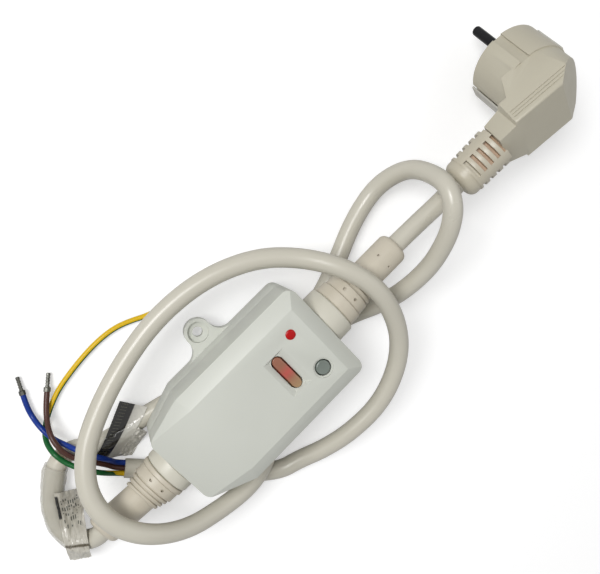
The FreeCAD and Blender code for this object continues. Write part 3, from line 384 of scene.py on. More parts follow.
def boot_stations(flange_length, sleeve_length):
    """Stations of a whole strain relief, and where its ribs end."""
    stations = band(0, flange_length, FLANGE_R, FLANGE_RIM)
    stations += band(flange_length, RING_LENGTH, RING_R)
    distance = flange_length + RING_LENGTH
    for rib in range(RIB_COUNT):
        radius = RIB_R - rib * RIB_STEP
        stations += [(distance + GROOVE_DRAFT, radius - GROOVE_DEPTH),
                     (distance + GROOVE_LENGTH - GROOVE_DRAFT, radius - GROOVE_DEPTH)]
        distance += GROOVE_LENGTH
        stations += band(distance, RIB_LENGTH, radius, RIB_RIM)
        distance += RIB_LENGTH
    for step in range(SLEEVE_STEPS + 1):
        along = (sleeve_length - SLEEVE_MOUTH) * step / SLEEVE_STEPS
        stations.append((distance + SLEEVE_FOOT + along, SLEEVE_R))
    end = distance + sleeve_length
    stations += [(end - 1.5, SLEEVE_R - 0.25), (end - 0.7, SLEEVE_R - 0.8), (end - 0.15, SLEEVE_R - 1.6),
                 (end, BORE_R + 0.6), (end - 0.3, BORE_R + 0.1), (end - BORE_DEPTH, BORE_R)]
    return stations, distance


# %% Blind holes and droop
HOLE_R, HOLE_TILT, HOLE_TURN = 0.75, 12, 19
SLEEVE_HOLE_R, SLEEVE_HOLE_TILT, SLEEVE_HOLE_TURN, SLEEVE_HOLE_BACK = 0.5, 7, 28, 10.3
PEG_SIDES, PEG_LENGTH = 24, 3.0


def pegs(start, side, distance, radius, tilt, turn, peg_r):
    """Two thin cylinders that mark where the blind holes go in."""
    made = []
    for angle in (tilt - turn, tilt + turn):
        outward = Vector((0, math.sin(math.radians(angle)), math.cos(math.radians(angle))))
        middle = start + Vector((side * distance, 0, 0)) * MM + outward * radius * MM
        bpy.ops.object.select_all(action="DESELECT")
        bpy.ops.mesh.primitive_cylinder_add(vertices=PEG_SIDES, radius=peg_r * MM, depth=PEG_LENGTH * MM,
                                            location=middle,
                                            rotation=UP.rotation_difference(outward).to_euler())
        made.append(bpy.context.active_object)
    return made


def bend_down(piece, start, side, length, droop):
    """Bends the piece down by droop degrees along its first stretch; the rest goes on straight."""
    for vertex in piece.data.vertices:
        along = abs(vertex.co.x - start.x)
        share = min(along / (length * MM), 1.0)
        angle = math.radians(droop) * share
        straight = along - share * length * MM
        centre_x, centre_z = straight, 0.0
        if angle > 0:
            bend_r = share * length * MM / angle
            centre_x = bend_r * math.sin(angle) + straight * math.cos(angle)
            centre_z = -bend_r * (1 - math.cos(angle)) - straight * math.sin(angle)
        height = vertex.co.z - start.z
        vertex.co.x = start.x + side * (centre_x - height * math.sin(angle))
        vertex.co.z = start.z + centre_z + height * math.cos(angle)
    smooth(piece)


# %% Both strain reliefs
SUPPLY_FLANGE, SUPPLY_SLEEVE, SUPPLY_DROOP = 5.8, 22.6, 0
LOAD_FLANGE, LOAD_SLEEVE, LOAD_DROOP = 2.6, 25.1, 12.5


def boot(name, side, axis_z, collar_length, flange_length, sleeve_length, droop, node):
    """A strain relief with its blind holes, bent down where it droops."""
    start = place(side * (HALF_LENGTH + collar_length), 0, axis_z)
    stations, ribs_end = boot_stations(flange_length, sleeve_length)
    piece = turned(name, start, (side, 0, 0), stations)
    holes = pegs(start, side, flange_length + RING_LENGTH / 2, RING_R, HOLE_TILT, HOLE_TURN, HOLE_R)
    holes += pegs(start, side, ribs_end + sleeve_length - SLEEVE_HOLE_BACK, SLEEVE_R, SLEEVE_HOLE_TILT,
                  SLEEVE_HOLE_TURN, SLEEVE_HOLE_R)
    cut_away(piece, holes)
    if droop:
        bend_down(piece, start, side, ribs_end, droop)
    return stand_in_for(piece, "housing", node)


supply_boot = boot("boot_plug_side", 1, SUPPLY_Z, SUPPLY_COLLAR, SUPPLY_FLANGE, SUPPLY_SLEEVE,
                   SUPPLY_DROOP, "supply_boot")
load_boot = boot("boot_load_side", -1, LOAD_Z, LOAD_COLLAR, LOAD_FLANGE, LOAD_SLEEVE,
                 LOAD_DROOP, "load_boot")
print("boot faces", len(supply_boot.data.polygons), len(load_boot.data.polygons))

# %% [markdown]
# The reset button is an oblong of clear amber plastic, the test button a grey disc and the indicator a
# small red dome. They are small but catch the eye, so each has rounded rims and its own gloss.
# The oblong is a softened copy of its solid, and the two round ones are turned.
# Their places are read from the frame, which keeps every running gap as it was built.

# %% Reset button
RESET_MIDDLE_X = 18.2
RESET_SLIM = 0.84
RESET_ROUND, RESET_SEGMENTS = 0.7, 4
reset_button = merged_copy("reset_button", "button_reset")
reset_middle = place(RESET_MIDDLE_X, 0, 0).x
for vertex in reset_button.data.vertices:
    vertex.co.x = reset_middle + (vertex.co.x - reset_middle) * RESET_SLIM
round_edges(reset_button, RESET_ROUND, RESET_SEGMENTS)
stand_in_for(reset_button, "reset", "reset_button")
print("reset button faces", len(reset_button.data.polygons))

# %% Test button and lens
TEST_R, TEST_STEM_R, TEST_SKIRT = 3.3, 2.0, 1
TEST_SKIRT_FOOT, TEST_SKIRT_TOP = 5.8, 4.4
LENS_R, LENS_FLANGE, LENS_FLANGE_HEIGHT = 2.3, 0.9, 1.0
SMALL_SIDES = 48


def middle_of(node):
    """Middle of a solid's box, and its lowest and highest corners."""
    low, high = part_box(node)
    return (low + high) / 2, low, high


def turned_button(name, node, body, profile):
    """A small round piece that is turned from the foot of its solid up; profile takes its height."""
    middle, low, high = middle_of(node)
    height = (high.z - low.z) / MM
    piece = turned(name, Vector((middle.x, middle.y, low.z)), (0, 0, 1), profile(height), SMALL_SIDES)
    print(name, "height", round(height, 2), "mm")
    return stand_in_for(piece, body, node)


def test_profile(top):
    """A stem, a skirt that keeps the button in, and a disc with a rounded rim and a shallow dish."""
    foot, shoulder = top - TEST_SKIRT_FOOT, top - TEST_SKIRT_TOP
    return [(0, TEST_STEM_R), (foot, TEST_STEM_R), (foot, TEST_R + TEST_SKIRT),
            (shoulder, TEST_R + TEST_SKIRT), (shoulder, TEST_R), (top - 0.5, TEST_R),
            (top - 0.15, TEST_R - 0.15), (top, TEST_R - 0.5), (top - 0.1, TEST_R - 1.0),
            (top - 0.25, 1.6), (top - 0.3, 0.6)]


def lens_profile(top):
    """A flange below the cover and a low dome above it."""
    return [(0, LENS_R + LENS_FLANGE), (LENS_FLANGE_HEIGHT, LENS_R + LENS_FLANGE),
            (LENS_FLANGE_HEIGHT, LENS_R), (top - 0.6, LENS_R), (top - 0.35, LENS_R - 0.08),
            (top - 0.15, LENS_R - 0.4), (top - 0.03, LENS_R - 1.1), (top, 0.5)]


test_button = turned_button("button_test", "test_button", "test", test_profile)
lens = turned_button("lens_red", "indicator_lens", "housing", lens_profile)

# %% [markdown]
# Three coil springs push the buttons and the plunger back. They are real coils here: a round wire swept
# along a helix.

# %% Sweeping a round section along a line


def swept(name, points, radius, roundness, caps=False):
    """A mesh with a round section along a line of points."""
    data = bpy.data.curves.new(name, "CURVE")
    data.dimensions = "3D"
    data.bevel_depth = radius
    data.bevel_resolution = roundness
    data.use_fill_caps = caps
    spline = data.splines.new("POLY")
    spline.points.add(len(points) - 1)
    for point, spot in zip(spline.points, points):
        point.co = (*spot, 1.0)
    only(linked(name, data))
    bpy.ops.object.convert(target="MESH")
    return bpy.context.active_object


# %% Springs
WIRE_R, WIRE_ROUNDNESS = 0.3, 3
STEPS_PER_TURN = 24
WIRE_ANGLE = math.radians(60)


def coil(name, node, turns):
    """A coil spring in its solid's place."""
    middle, low, high = middle_of(node)
    radius = (high.x - low.x) / 2 - WIRE_R * MM
    foot, top = low.z + WIRE_R * MM, high.z - WIRE_R * MM
    steps = turns * STEPS_PER_TURN
    helix = []
    for step in range(steps + 1):
        angle = math.tau * step / STEPS_PER_TURN
        helix.append((middle.x + radius * math.cos(angle), middle.y + radius * math.sin(angle),
                      foot + (top - foot) * step / steps))
    piece = swept(name, helix, WIRE_R * MM, WIRE_ROUNDNESS, caps=True)
    smooth(piece, WIRE_ANGLE)
    stand_in_for(piece, "housing", node)
    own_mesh(piece)
    return piece


springs = [coil("coil_reset", "reset_spring", 5),
           coil("coil_test", "test_spring", 6),
           coil("coil_plunger", "plunger_spring", 3)]

# %% [markdown]
# The plug lies on its side: a round front with two pins and an earth strip, and an angled grip.
# Its solid gives the facets; softened edges turn them into a moulded shape that glides into the light.

# %% Plug
PLUG_ROUND = 0.7
THIN_ROUND, THIN_SEGMENTS = 0.25, 2
plug_body = softened("plug_body", "plug_moulding", PLUG_ROUND)
plug_guard = softened("plug_boot", "plug_guard", THIN_ROUND, THIN_SEGMENTS)
plug_strip = softened("plug_earth_clip", "plug_earth_strip", THIN_ROUND, THIN_SEGMENTS)
print("plug faces", len(plug_body.data.polygons), len(plug_guard.data.polygons))

# %% [markdown]
# Near its bare end the cord is still wrapped: crumpled clear film lies round the bend, and a printed label
# sits on the strand beside it. Film is thin, so its shape is all in its creases.
# The film round the bend is a tube along the cord's own line, displaced by two procedural textures, pulled
# to a tip and given a thin wall. No point of it may sink into the cord or the table.

# %% Stretches of the long cord
BEND_SPAN = ((-90, 0, 16), (-84, 34.5, 4.5))
STRAND_SPAN = ((-75, 34.5, 4.5), (-30, 18, 4.5))
SLEEVE_SPAN = (LOAD_ROUTE[3], LOAD_ROUTE[7])
long_line = centreline(load_cord)


def nearest(spot):
    """Number of the point of the long cord's line that is closest to a place on the table."""
    target = place(*spot)
    return min(range(len(long_line)), key=lambda number: (long_line[number] - target).length)


def stretch(span):
    """The points of the long cord's line between two places."""
    first, last = span
    return long_line[nearest(first):nearest(last)]


print("points round the bend", len(stretch(BEND_SPAN)), "and on the strand", len(stretch(STRAND_SPAN)))

# %% Film round the cord
FILM_R, FILM_ROUNDNESS = 5.3, 6
FILM_SPLITS = 2
FILM_WALL = 0.18
FILM_CLEARANCE, TABLE_CLEARANCE = 0.25, 0.1
FILM_ANGLE = math.radians(50)
FOLD_SCALE, FOLD_STRENGTH, FOLD_LEVEL = 7.0, 1.32, 0.45
WRINKLE_SCALE, WRINKLE_STRENGTH, WRINKLE_LEVEL = 4.2, 0.385, 0.4
TIP_PLACE = (-111.5, -2.5, 3.0)
TIP_REACH, TIP_PULL, TIP_FADE = 17.0, 0.75, 1.2


def crease(piece, name, kind, scale, strength, middle):
    """Pushes the surface in and out along its normals by a procedural texture."""
    texture = bpy.data.textures.new(name, kind)
    texture.noise_scale = scale * MM
    modifier = piece.modifiers.new(name, "DISPLACE")
    modifier.texture = texture
    modifier.texture_coords = "LOCAL"
    modifier.strength = strength * MM
    modifier.mid_level = middle


def add_wall(piece, thickness, offset):
    """Gives a sheet its thickness."""
    shell = piece.modifiers.new("wall", "SOLIDIFY")
    shell.thickness = thickness * MM
    shell.offset = offset
    apply_modifiers(piece)


def film_tube(name, line, tip):
    """A crumpled sleeve of film along a line, pulled to a tip, off the cord and the table."""
    piece = swept(name, line, FILM_R * MM, FILM_ROUNDNESS)
    split = piece.modifiers.new("split", "SUBSURF")
    split.subdivision_type = "SIMPLE"
    split.levels = split.render_levels = FILM_SPLITS
    crease(piece, name + " folds", "CLOUDS", FOLD_SCALE, FOLD_STRENGTH, FOLD_LEVEL)
    crease(piece, name + " wrinkles", "VORONOI", WRINKLE_SCALE, WRINKLE_STRENGTH, WRINKLE_LEVEL)
    apply_modifiers(piece)
    for vertex in piece.data.vertices:
        share = max(0.0, 1 - (vertex.co - tip).length / (TIP_REACH * MM)) ** TIP_FADE
        vertex.co = vertex.co.lerp(tip, TIP_PULL * share)
    inner = (CORD_R + FILM_CLEARANCE) * MM
    for vertex in piece.data.vertices:
        foot = min(line, key=lambda spot: (vertex.co - spot).length_squared)
        outward = vertex.co - foot
        if outward.length < inner:
            vertex.co = foot + outward.normalized() * inner
        vertex.co.z = max(vertex.co.z, FLOOR_Z + TABLE_CLEARANCE * MM)
    add_wall(piece, FILM_WALL, 0)
    smooth(piece, FILM_ANGLE)
    return piece


film = film_tube("film_crumpled", stretch(SLEEVE_SPAN), place(*TIP_PLACE))
print("film faces", len(film.data.polygons))

# %% [markdown]
# Where a film is stuck round the cord and to itself, its free part stands off as a flat flap.
# Each flap is a grid between four places on the table. Every point is laid at the height at which it
# touches the cord or the table, and a little noise crumples it. A cloth simulation would do that too, but
# a rule is quicker for a stiff small film and gives the same folds each time.

# %% Sheets draped over the cord
SHEET_STEPS = (72, 34)
SHEET_WALL, SHEET_LIFT = 0.2, 0.15
SHEET_ANGLE = math.radians(60)
BIG_RUMPLE, SMALL_RUMPLE, SMALL_SHARE = 3.2, 1.5, 0.5


def drape_height(spot, line, radius):
    """Height at which a sheet lies over a cord: round on top, then straight down to the table."""
    side = radius * math.sqrt(0.5)
    flat = Vector((spot.x, spot.y))
    foot = min(line, key=lambda point: (point.xy - flat).length_squared)
    aside = (foot.xy - flat).length
    if aside < side * MM:
        return foot.z + math.sqrt((radius * MM) ** 2 - aside ** 2)
    return foot.z + 2 * side * MM - aside


def draped_sheet(name, corners, line, depth, radius):
    """A thin sheet between four places on the table, laid over a cord and a little crumpled."""
    bpy.ops.object.select_all(action="DESELECT")
    bpy.ops.mesh.primitive_grid_add(x_subdivisions=SHEET_STEPS[0], y_subdivisions=SHEET_STEPS[1], size=1.0)
    piece = bpy.context.active_object
    piece.name = name
    first, second, third, fourth = (place(*corner, 0) for corner in corners)
    for vertex in piece.data.vertices:
        along, across = vertex.co.x + 0.5, vertex.co.y + 0.5
        spot = first.lerp(second, along).lerp(fourth.lerp(third, along), across)
        rumple = noise.noise(spot / (BIG_RUMPLE * MM)) + SMALL_SHARE * noise.noise(spot / (SMALL_RUMPLE * MM))
        spot.z = max(drape_height(spot, line, radius), FLOOR_Z) + (SHEET_LIFT + depth * abs(rumple)) * MM
        vertex.co = spot
    add_wall(piece, SHEET_WALL, 1)
    only(piece)
    bpy.ops.object.mode_set(mode="EDIT")
    bpy.ops.mesh.select_all(action="SELECT")
    bpy.ops.mesh.normals_make_consistent(inside=False)
    bpy.ops.object.mode_set(mode="OBJECT")
    smooth(piece, SHEET_ANGLE)
    return piece


# %% Label and film sheets
FLAG_CORNERS = [(-73.2, 22.8), (-45.2, 33.3), (-37.5, 23.8), (-64.5, 15.5)]
LABEL_CORNERS = [(-64.5, 15.5), (-46.5, 20.9), (-46.5, 14.5), (-60, 10.8)]
BEND_CORNERS = [(-92.5, 27), (-85.5, 17.5), (-103, -6.5), (-113, -3)]
LABEL_R, BEND_R = 4.9, 6.1
FLAG_DEPTH, LABEL_DEPTH, BEND_DEPTH = 0.25, 1.5, 1.4
label_flag = draped_sheet("label_flag", FLAG_CORNERS, stretch(STRAND_SPAN), FLAG_DEPTH, LABEL_R)
label_film = draped_sheet("label_film", LABEL_CORNERS, stretch(STRAND_SPAN), LABEL_DEPTH, LABEL_R)
bend_sheet = draped_sheet("film_sheet", BEND_CORNERS, stretch(BEND_SPAN), BEND_DEPTH, BEND_R)
for piece in (film, bend_sheet):
    stand_in_for(piece, "housing", "bend_film")
for piece in (label_flag, label_film):
    stand_in_for(piece, "housing", "strand_label")
print("flag", round((place(*FLAG_CORNERS[1], 0) - place(*FLAG_CORNERS[0], 0)).length / MM, 1), "mm long")

# %% [markdown]
# The three cores end in crimped pins: a short collar over the insulation and a pressed metal shank.
# They are turned as the boots are, but with eight sides, because the crimping tool leaves flats and notches.

# %% Crimped pins
CRIMP_COLLAR_R, CRIMP_PIN_R = 1.55, 0.95
CRIMP_STATIONS = [(0.0, 1.3), (0.1, CRIMP_COLLAR_R), (1.9, CRIMP_COLLAR_R), (2.2, CRIMP_PIN_R)]
CRIMP_NOTCHES, CRIMP_NOTCH_DEPTH, CRIMP_PITCH = 4, 0.15, 1.25
CRIMP_SHOULDER, CRIMP_TIP_ROUND = 0.5, 0.3
CRIMP_LENGTH, CRIMP_SIDES = 8.5, 8


def crimp(name, route, node):
    """A crimped pin that carries on from the end of a core."""
    stations = list(CRIMP_STATIONS)
    distance = CRIMP_STATIONS[-1][0] + CRIMP_SHOULDER
    for _ in range(CRIMP_NOTCHES):
        stations += [(distance, CRIMP_PIN_R), (distance + 0.25, CRIMP_PIN_R - CRIMP_NOTCH_DEPTH),
                     (distance + 0.6, CRIMP_PIN_R - CRIMP_NOTCH_DEPTH), (distance + 0.85, CRIMP_PIN_R)]
        distance += CRIMP_PITCH
    stations += [(CRIMP_LENGTH - CRIMP_TIP_ROUND, CRIMP_PIN_R), (CRIMP_LENGTH, CRIMP_PIN_R - CRIMP_TIP_ROUND)]
    tip = place(*route[-1])
    piece = turned(name, tip, tip - place(*route[-2]), stations, CRIMP_SIDES)
    return stand_in_for(piece, "housing", node)


crimps = {}
for colour, route in (("blue", BLUE_ROUTE), ("brown", BROWN_ROUTE), ("earth", EARTH_ROUTE)):
    crimps[colour] = crimp("crimp_" + colour, route, "crimp_pin_" + colour)
print("crimps", sorted(crimps))

# %% [markdown]
# A finish is more than a colour: moulded plastic has a faint mottle and fine grain, and it is a little
# dirtier in one place than another. One shared node group makes that variation for every material.
# It puts out only a colour, a roughness and a height, so the shader itself stays in each material.

# %% Shared surface group
PATCH_DETAIL, GRAIN_DETAIL = 4.0, 2.0


def make_surface_group():
    """Mottle and grain for moulded, sheet and metal surfaces."""
    group = bpy.data.node_groups.new("surface variation", "ShaderNodeTree")
    face = group.interface
    face.new_socket(name="Color", in_out="INPUT", socket_type="NodeSocketColor")
    face.new_socket(name="Second Color", in_out="INPUT", socket_type="NodeSocketColor")
    for name in ("Patch Scale", "Grain Scale", "Roughness", "Roughness Spread"):
        face.new_socket(name=name, in_out="INPUT", socket_type="NodeSocketFloat")
    face.new_socket(name="Color", in_out="OUTPUT", socket_type="NodeSocketColor")
    face.new_socket(name="Roughness", in_out="OUTPUT", socket_type="NodeSocketFloat")
    face.new_socket(name="Height", in_out="OUTPUT", socket_type="NodeSocketFloat")
    inlet = group.nodes.new("NodeGroupInput")
    outlet = group.nodes.new("NodeGroupOutput")
    where = group.nodes.new("ShaderNodeTexCoord")
    patches = group.nodes.new("ShaderNodeTexNoise")
    patches.inputs["Detail"].default_value = PATCH_DETAIL
    grain = group.nodes.new("ShaderNodeTexNoise")
    grain.inputs["Detail"].default_value = GRAIN_DETAIL
    mix = group.nodes.new("ShaderNodeMix")
    mix.data_type = "RGBA"
    spread = group.nodes.new("ShaderNodeMath")
    spread.operation = "MULTIPLY_ADD"
    centred = group.nodes.new("ShaderNodeMath")
    centred.operation = "SUBTRACT"
    centred.inputs[1].default_value = 0.5
    link = group.links.new
    link(where.outputs["Object"], patches.inputs["Vector"])
    link(where.outputs["Object"], grain.inputs["Vector"])
    link(inlet.outputs["Patch Scale"], patches.inputs["Scale"])
    link(inlet.outputs["Grain Scale"], grain.inputs["Scale"])
    link(patches.outputs["Fac"], mix.inputs["Factor"])
    link(inlet.outputs["Color"], mix.inputs["A"])
    link(inlet.outputs["Second Color"], mix.inputs["B"])
    link(patches.outputs["Fac"], centred.inputs[0])
    link(centred.outputs["Value"], spread.inputs[0])
    link(inlet.outputs["Roughness Spread"], spread.inputs[1])
    link(inlet.outputs["Roughness"], spread.inputs[2])
    link(mix.outputs["Result"], outlet.inputs["Color"])
    link(spread.outputs["Value"], outlet.inputs["Roughness"])
    link(grain.outputs["Fac"], outlet.inputs["Height"])
    return group


surface_group = make_surface_group()
print("shared group nodes", len(surface_group.nodes))

# %% A material from the group
GRAIN_DEPTH = 0.0002


def tone(red, green, blue):
    """A screen colour from 0 to 255 as the linear colour that the shader takes."""
    linear = []
    for value in (red, green, blue):
        share = value / 255
        linear.append(share / 12.92 if share <= 0.04045 else ((share + 0.055) / 1.055) ** 2.4)
    return (*linear, 1.0)


def principled(material):
    """The shader of a material."""
    return material.node_tree.nodes["Principled BSDF"]


def finish(name, colour, second, roughness, patch, grain, bump, spread=0.12, metallic=0.0):
    """A material with mottled colour, varied roughness and fine grain."""
    material = bpy.data.materials.new(name)
    material.use_nodes = True
    tree = material.node_tree
    shader = principled(material)
    variation = tree.nodes.new("ShaderNodeGroup")
    variation.node_tree = surface_group
    variation.inputs["Color"].default_value = colour
    variation.inputs["Second Color"].default_value = second
    variation.inputs["Patch Scale"].default_value = patch
    variation.inputs["Grain Scale"].default_value = grain
    variation.inputs["Roughness"].default_value = roughness
    variation.inputs["Roughness Spread"].default_value = spread
    relief = tree.nodes.new("ShaderNodeBump")
    relief.inputs["Strength"].default_value = bump
    relief.inputs["Distance"].default_value = GRAIN_DEPTH
    tree.links.new(variation.outputs["Color"], shader.inputs["Base Color"])
    tree.links.new(variation.outputs["Roughness"], shader.inputs["Roughness"])
    tree.links.new(variation.outputs["Height"], relief.inputs["Height"])
    tree.links.new(relief.outputs["Normal"], shader.inputs["Normal"])
    shader.inputs["Metallic"].default_value = metallic
    return material


# %% [markdown]
# Each material is one call: its two colours, its roughness, the scales of its patches and of its grain, and
# how deep the grain is. The beige rubbers differ a little, as pieces from different moulds do.
# Metals also say how far their roughness spreads, and that they are metal.

# %% Finishes of the outside
shell_plastic = finish("shell plastic", tone(200, 202, 194), tone(193, 195, 186), 0.40, 35, 1400, 0.06)
collar_plastic = finish("collar plastic", tone(204, 201, 188), tone(196, 193, 179), 0.36, 60, 1400, 0.05)
cord_rubber = finish("cord sheath", tone(197, 193, 180), tone(188, 184, 170), 0.30, 45, 700, 0.08)
boot_rubber = finish("boot rubber", tone(197, 190, 174), tone(187, 179, 162), 0.42, 70, 900, 0.12)
plug_rubber = finish("plug moulding", tone(187, 182, 165), tone(179, 173, 155), 0.38, 60, 900, 0.10)
guard_rubber = finish("guard moulding", tone(190, 184, 167), tone(182, 175, 157), 0.38, 60, 900, 0.10)
amber_plastic = finish("amber button", tone(152, 98, 78), tone(134, 86, 62), 0.22, 220, 900, 0.03)
grey_plastic = finish("grey button", tone(116, 124, 117), tone(100, 109, 102), 0.30, 200, 900, 0.05)
red_plastic = finish("red lens", tone(182, 4, 6), tone(150, 2, 6), 0.35, 200, 900, 0.02)
blue_sleeve = finish("blue wire", tone(14, 54, 144), tone(8, 42, 120), 0.30, 90, 900, 0.06)
brown_sleeve = finish("brown wire", tone(80, 50, 42), tone(64, 38, 32), 0.32, 90, 900, 0.06)
green_sleeve = finish("green wire", tone(20, 96, 44), tone(14, 80, 36), 0.32, 90, 900, 0.06)
# The pins are painted near black: that stands in for the shade and the dark reflections on their metal.
pin_metal = finish("pin metal", tone(52, 52, 54), tone(40, 40, 42), 0.28, 120, 900, 0.04, 0.08, 1.0)
strip_metal = finish("strip metal", tone(206, 204, 196), tone(184, 181, 172), 0.34, 160, 1600, 0.06, 0.1, 1.0)
crimp_metal = finish("crimp metal", tone(112, 112, 106), tone(70, 70, 66), 0.38, 300, 1600, 0.1, 0.12, 1.0)
white_film = finish("white film", tone(214, 212, 204), tone(200, 197, 188), 0.16, 120, 500, 0.1)
flag_film = finish("flag film", tone(214, 212, 204), tone(200, 197, 188), 0.16, 120, 500, 0.1)
clear_film = finish("clear film", tone(218, 216, 206), tone(196, 192, 178), 0.14, 140, 500, 0.1)
sheet_film = finish("sheet film", tone(214, 211, 200), tone(190, 185, 172), 0.16, 140, 500, 0.1)

SOFT_SPECULAR = 0.25
CLEAR_ALPHA, SHEET_ALPHA = 0.3, 0.8
for sleeve in (blue_sleeve, brown_sleeve, green_sleeve, red_plastic):
    principled(sleeve).inputs["Specular IOR Level"].default_value = SOFT_SPECULAR
principled(clear_film).inputs["Alpha"].default_value = CLEAR_ALPHA
principled(sheet_film).inputs["Alpha"].default_value = SHEET_ALPHA

# %% Finishes of the inside, and which finish each slot gets
FINISHES = {
    "cord": cord_rubber, "beige": boot_rubber, "dark_insert": plug_rubber, "pin_metal": pin_metal,
    "strip_metal": strip_metal, "shell": shell_plastic, "amber": amber_plastic,
    "grey_button": grey_plastic, "red_lens": red_plastic, "blue_sleeve": blue_sleeve,
    "brown_sleeve": brown_sleeve, "green_sleeve": green_sleeve, "crimp_metal": crimp_metal,
    "clear_film": clear_film, "white_film": white_film,
    "lamp": finish("lamp", tone(230, 120, 100), tone(220, 90, 80), 0.1, 200, 900, 0.02),
    "board": finish("board", tone(40, 96, 52), tone(30, 78, 42), 0.45, 120, 1200, 0.08),
    "black_plastic": finish("black plastic", tone(40, 40, 42), tone(28, 28, 30), 0.45, 90, 900, 0.08),
    "clamp_plastic": finish("clamp plastic", tone(222, 222, 214), tone(206, 206, 198), 0.45, 90, 900, 0.08),
    "copper": finish("copper", tone(200, 122, 84), tone(176, 100, 66), 0.28, 200, 1400, 0.06, 0.1, 1.0),
    "core_iron": finish("core iron", tone(120, 120, 124), tone(92, 92, 96), 0.5, 200, 1400, 0.12, 0.1, 1.0),
    "spring_steel": finish("spring steel", tone(190, 190, 192), tone(160, 160, 164), 0.3, 200, 1400, 0.06,
                           0.1, 1.0),
    "terminal_brass": finish("terminal brass", tone(206, 176, 106), tone(184, 152, 84), 0.3, 200, 1400,
                             0.06, 0.1, 1.0),
    "component_blue": finish("varistor coat", tone(44, 92, 160), tone(34, 74, 136), 0.3, 150, 900, 0.06),
    "component_grey": finish("capacitor case", tone(150, 150, 150), tone(132, 132, 132), 0.35, 150, 900,
                             0.06),
    "lead_sleeve": finish("lead sleeve", tone(120, 100, 84), tone(98, 80, 66), 0.4, 150, 900, 0.06),
}
print("finishes", len(FINISHES))

# %% [markdown]
# Some finishes have a pattern as well: a stripe, a glow or a print. Each is a mask, a number from nought to
# one that is worked out from the place of the shaded point and lays a second colour over the first.
# So the pattern stays on its piece when that moves, and it needs no picture.

# %% Building blocks of a mask


def two_tone(material, mask, colour):
    """Lays a colour over a finish where the mask is one."""
    tree = material.node_tree
    base_colour = principled(material).inputs["Base Color"]
    mix = tree.nodes.new("ShaderNodeMix")
    mix.data_type = "RGBA"
    mix.inputs["B"].default_value = colour
    tree.links.new(base_colour.links[0].from_socket, mix.inputs["A"])
    tree.links.new(mask, mix.inputs["Factor"])
    tree.links.new(mix.outputs["Result"], base_colour)


def ramp_between(tree, value, low, high):
    """A mask that goes from nought at low to one at high."""
    span = tree.nodes.new("ShaderNodeMapRange")
    span.inputs["From Min"].default_value = low
    span.inputs["From Max"].default_value = high
    tree.links.new(value, span.inputs["Value"])
    return span.outputs["Result"]


def math_of(tree, operation, first, second=0.0):
    """One sum on a socket and a number or another socket."""
    sum_node = tree.nodes.new("ShaderNodeMath")
    sum_node.operation = operation
    tree.links.new(first, sum_node.inputs[0])
    if isinstance(second, (int, float)):
        sum_node.inputs[1].default_value = second
    else:
        tree.links.new(second, sum_node.inputs[1])
    return sum_node.outputs["Value"]


def place_of(tree, kind="Object"):
    """The three coordinates of the shaded point, and the vector that they form."""
    where = tree.nodes.new("ShaderNodeTexCoord")
    parts = tree.nodes.new("ShaderNodeSeparateXYZ")
    tree.links.new(where.outputs[kind], parts.inputs["Vector"])
    return parts.outputs["X"], parts.outputs["Y"], parts.outputs["Z"], where.outputs[kind]


def vector_math(tree, operation, first, second=(0, 0, 0)):
    """One operation of a vector socket with a fixed vector."""
    made = tree.nodes.new("ShaderNodeVectorMath")
    made.operation = operation
    tree.links.new(first, made.inputs[0])
    made.inputs[1].default_value = second
    return made


# %% [markdown]
# An earth core is green and yellow all along: one half of its round is green, the other yellow.
# The side is read from the direction in which the surface faces. The real wire twists once, so the two
# halves change over there.

# %% Yellow and green earth wire
YELLOW = tone(214, 176, 20)
STRIPE_DIRECTION = (0.0, 0.8, 0.6)
STRIPE_EDGE = (0.1, 0.2)
TWIST_SPAN = (-75, -69)


def stripe_earth(material):
    """Green with one yellow side, which changes over at the place where the wire twists."""
    tree = material.node_tree
    facing = vector_math(tree, "DOT_PRODUCT", place_of(tree, "Normal")[3], STRIPE_DIRECTION).outputs["Value"]
    start, end = (place(x, 0, 0).x for x in TWIST_SPAN)
    twist = ramp_between(tree, place_of(tree)[0], start, end)
    side = math_of(tree, "SUBTRACT", math_of(tree, "MULTIPLY", twist, 2.0), 1.0)
    two_tone(material, ramp_between(tree, math_of(tree, "MULTIPLY", facing, side), *STRIPE_EDGE), YELLOW)


stripe_earth(green_sleeve)

# %% [markdown]
# The lamp below the reset button shows through it; its light is painted into the button as a red glow in its
# middle,
# and the button's raised end is painted paler, as light catches it. The slots of the plug's guard let a warm
# dark inside be seen:
# that is painted shade, a darker warm colour on what lies deeper than the guard's rim, so the slots read as
# slots from every side.

# %% Painted glow and light in the button, painted shade in the guard's slots
PAINTED_LIGHT_END, PAINTED_GLOW_HALF = (0.42, 0.1), 0.2
GUARD_FOOT, GUARD_MOUTH = place(159.6, 2.69, 37.52), place(*SUPPLY_ROUTE[0])
SLOT_SHADE_DEPTH = (9.3 * MM, 8.4 * MM)
SLOT_SHADE_END = (13.9 * MM, 13.5 * MM)


def paint_button_glow_and_light(material):
    """A painted red glow of the lamp below in the button's middle, and a paler end towards the test button,
    painted light where the raised end catches it.
    """
    tree = material.node_tree
    low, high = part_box("reset_button")
    along = ramp_between(tree, place_of(tree)[1], low.y, high.y)
    # Painted light: a paler colour on the button's raised end.
    two_tone(material, ramp_between(tree, along, *PAINTED_LIGHT_END), tone(158, 128, 92))
    off_middle = math_of(tree, "ABSOLUTE", math_of(tree, "SUBTRACT", along, 0.5))
    # Painted glow: the red light of the lamp below, in the button's middle.
    two_tone(material, ramp_between(tree, off_middle, PAINTED_GLOW_HALF, 0.0), tone(176, 76, 66))


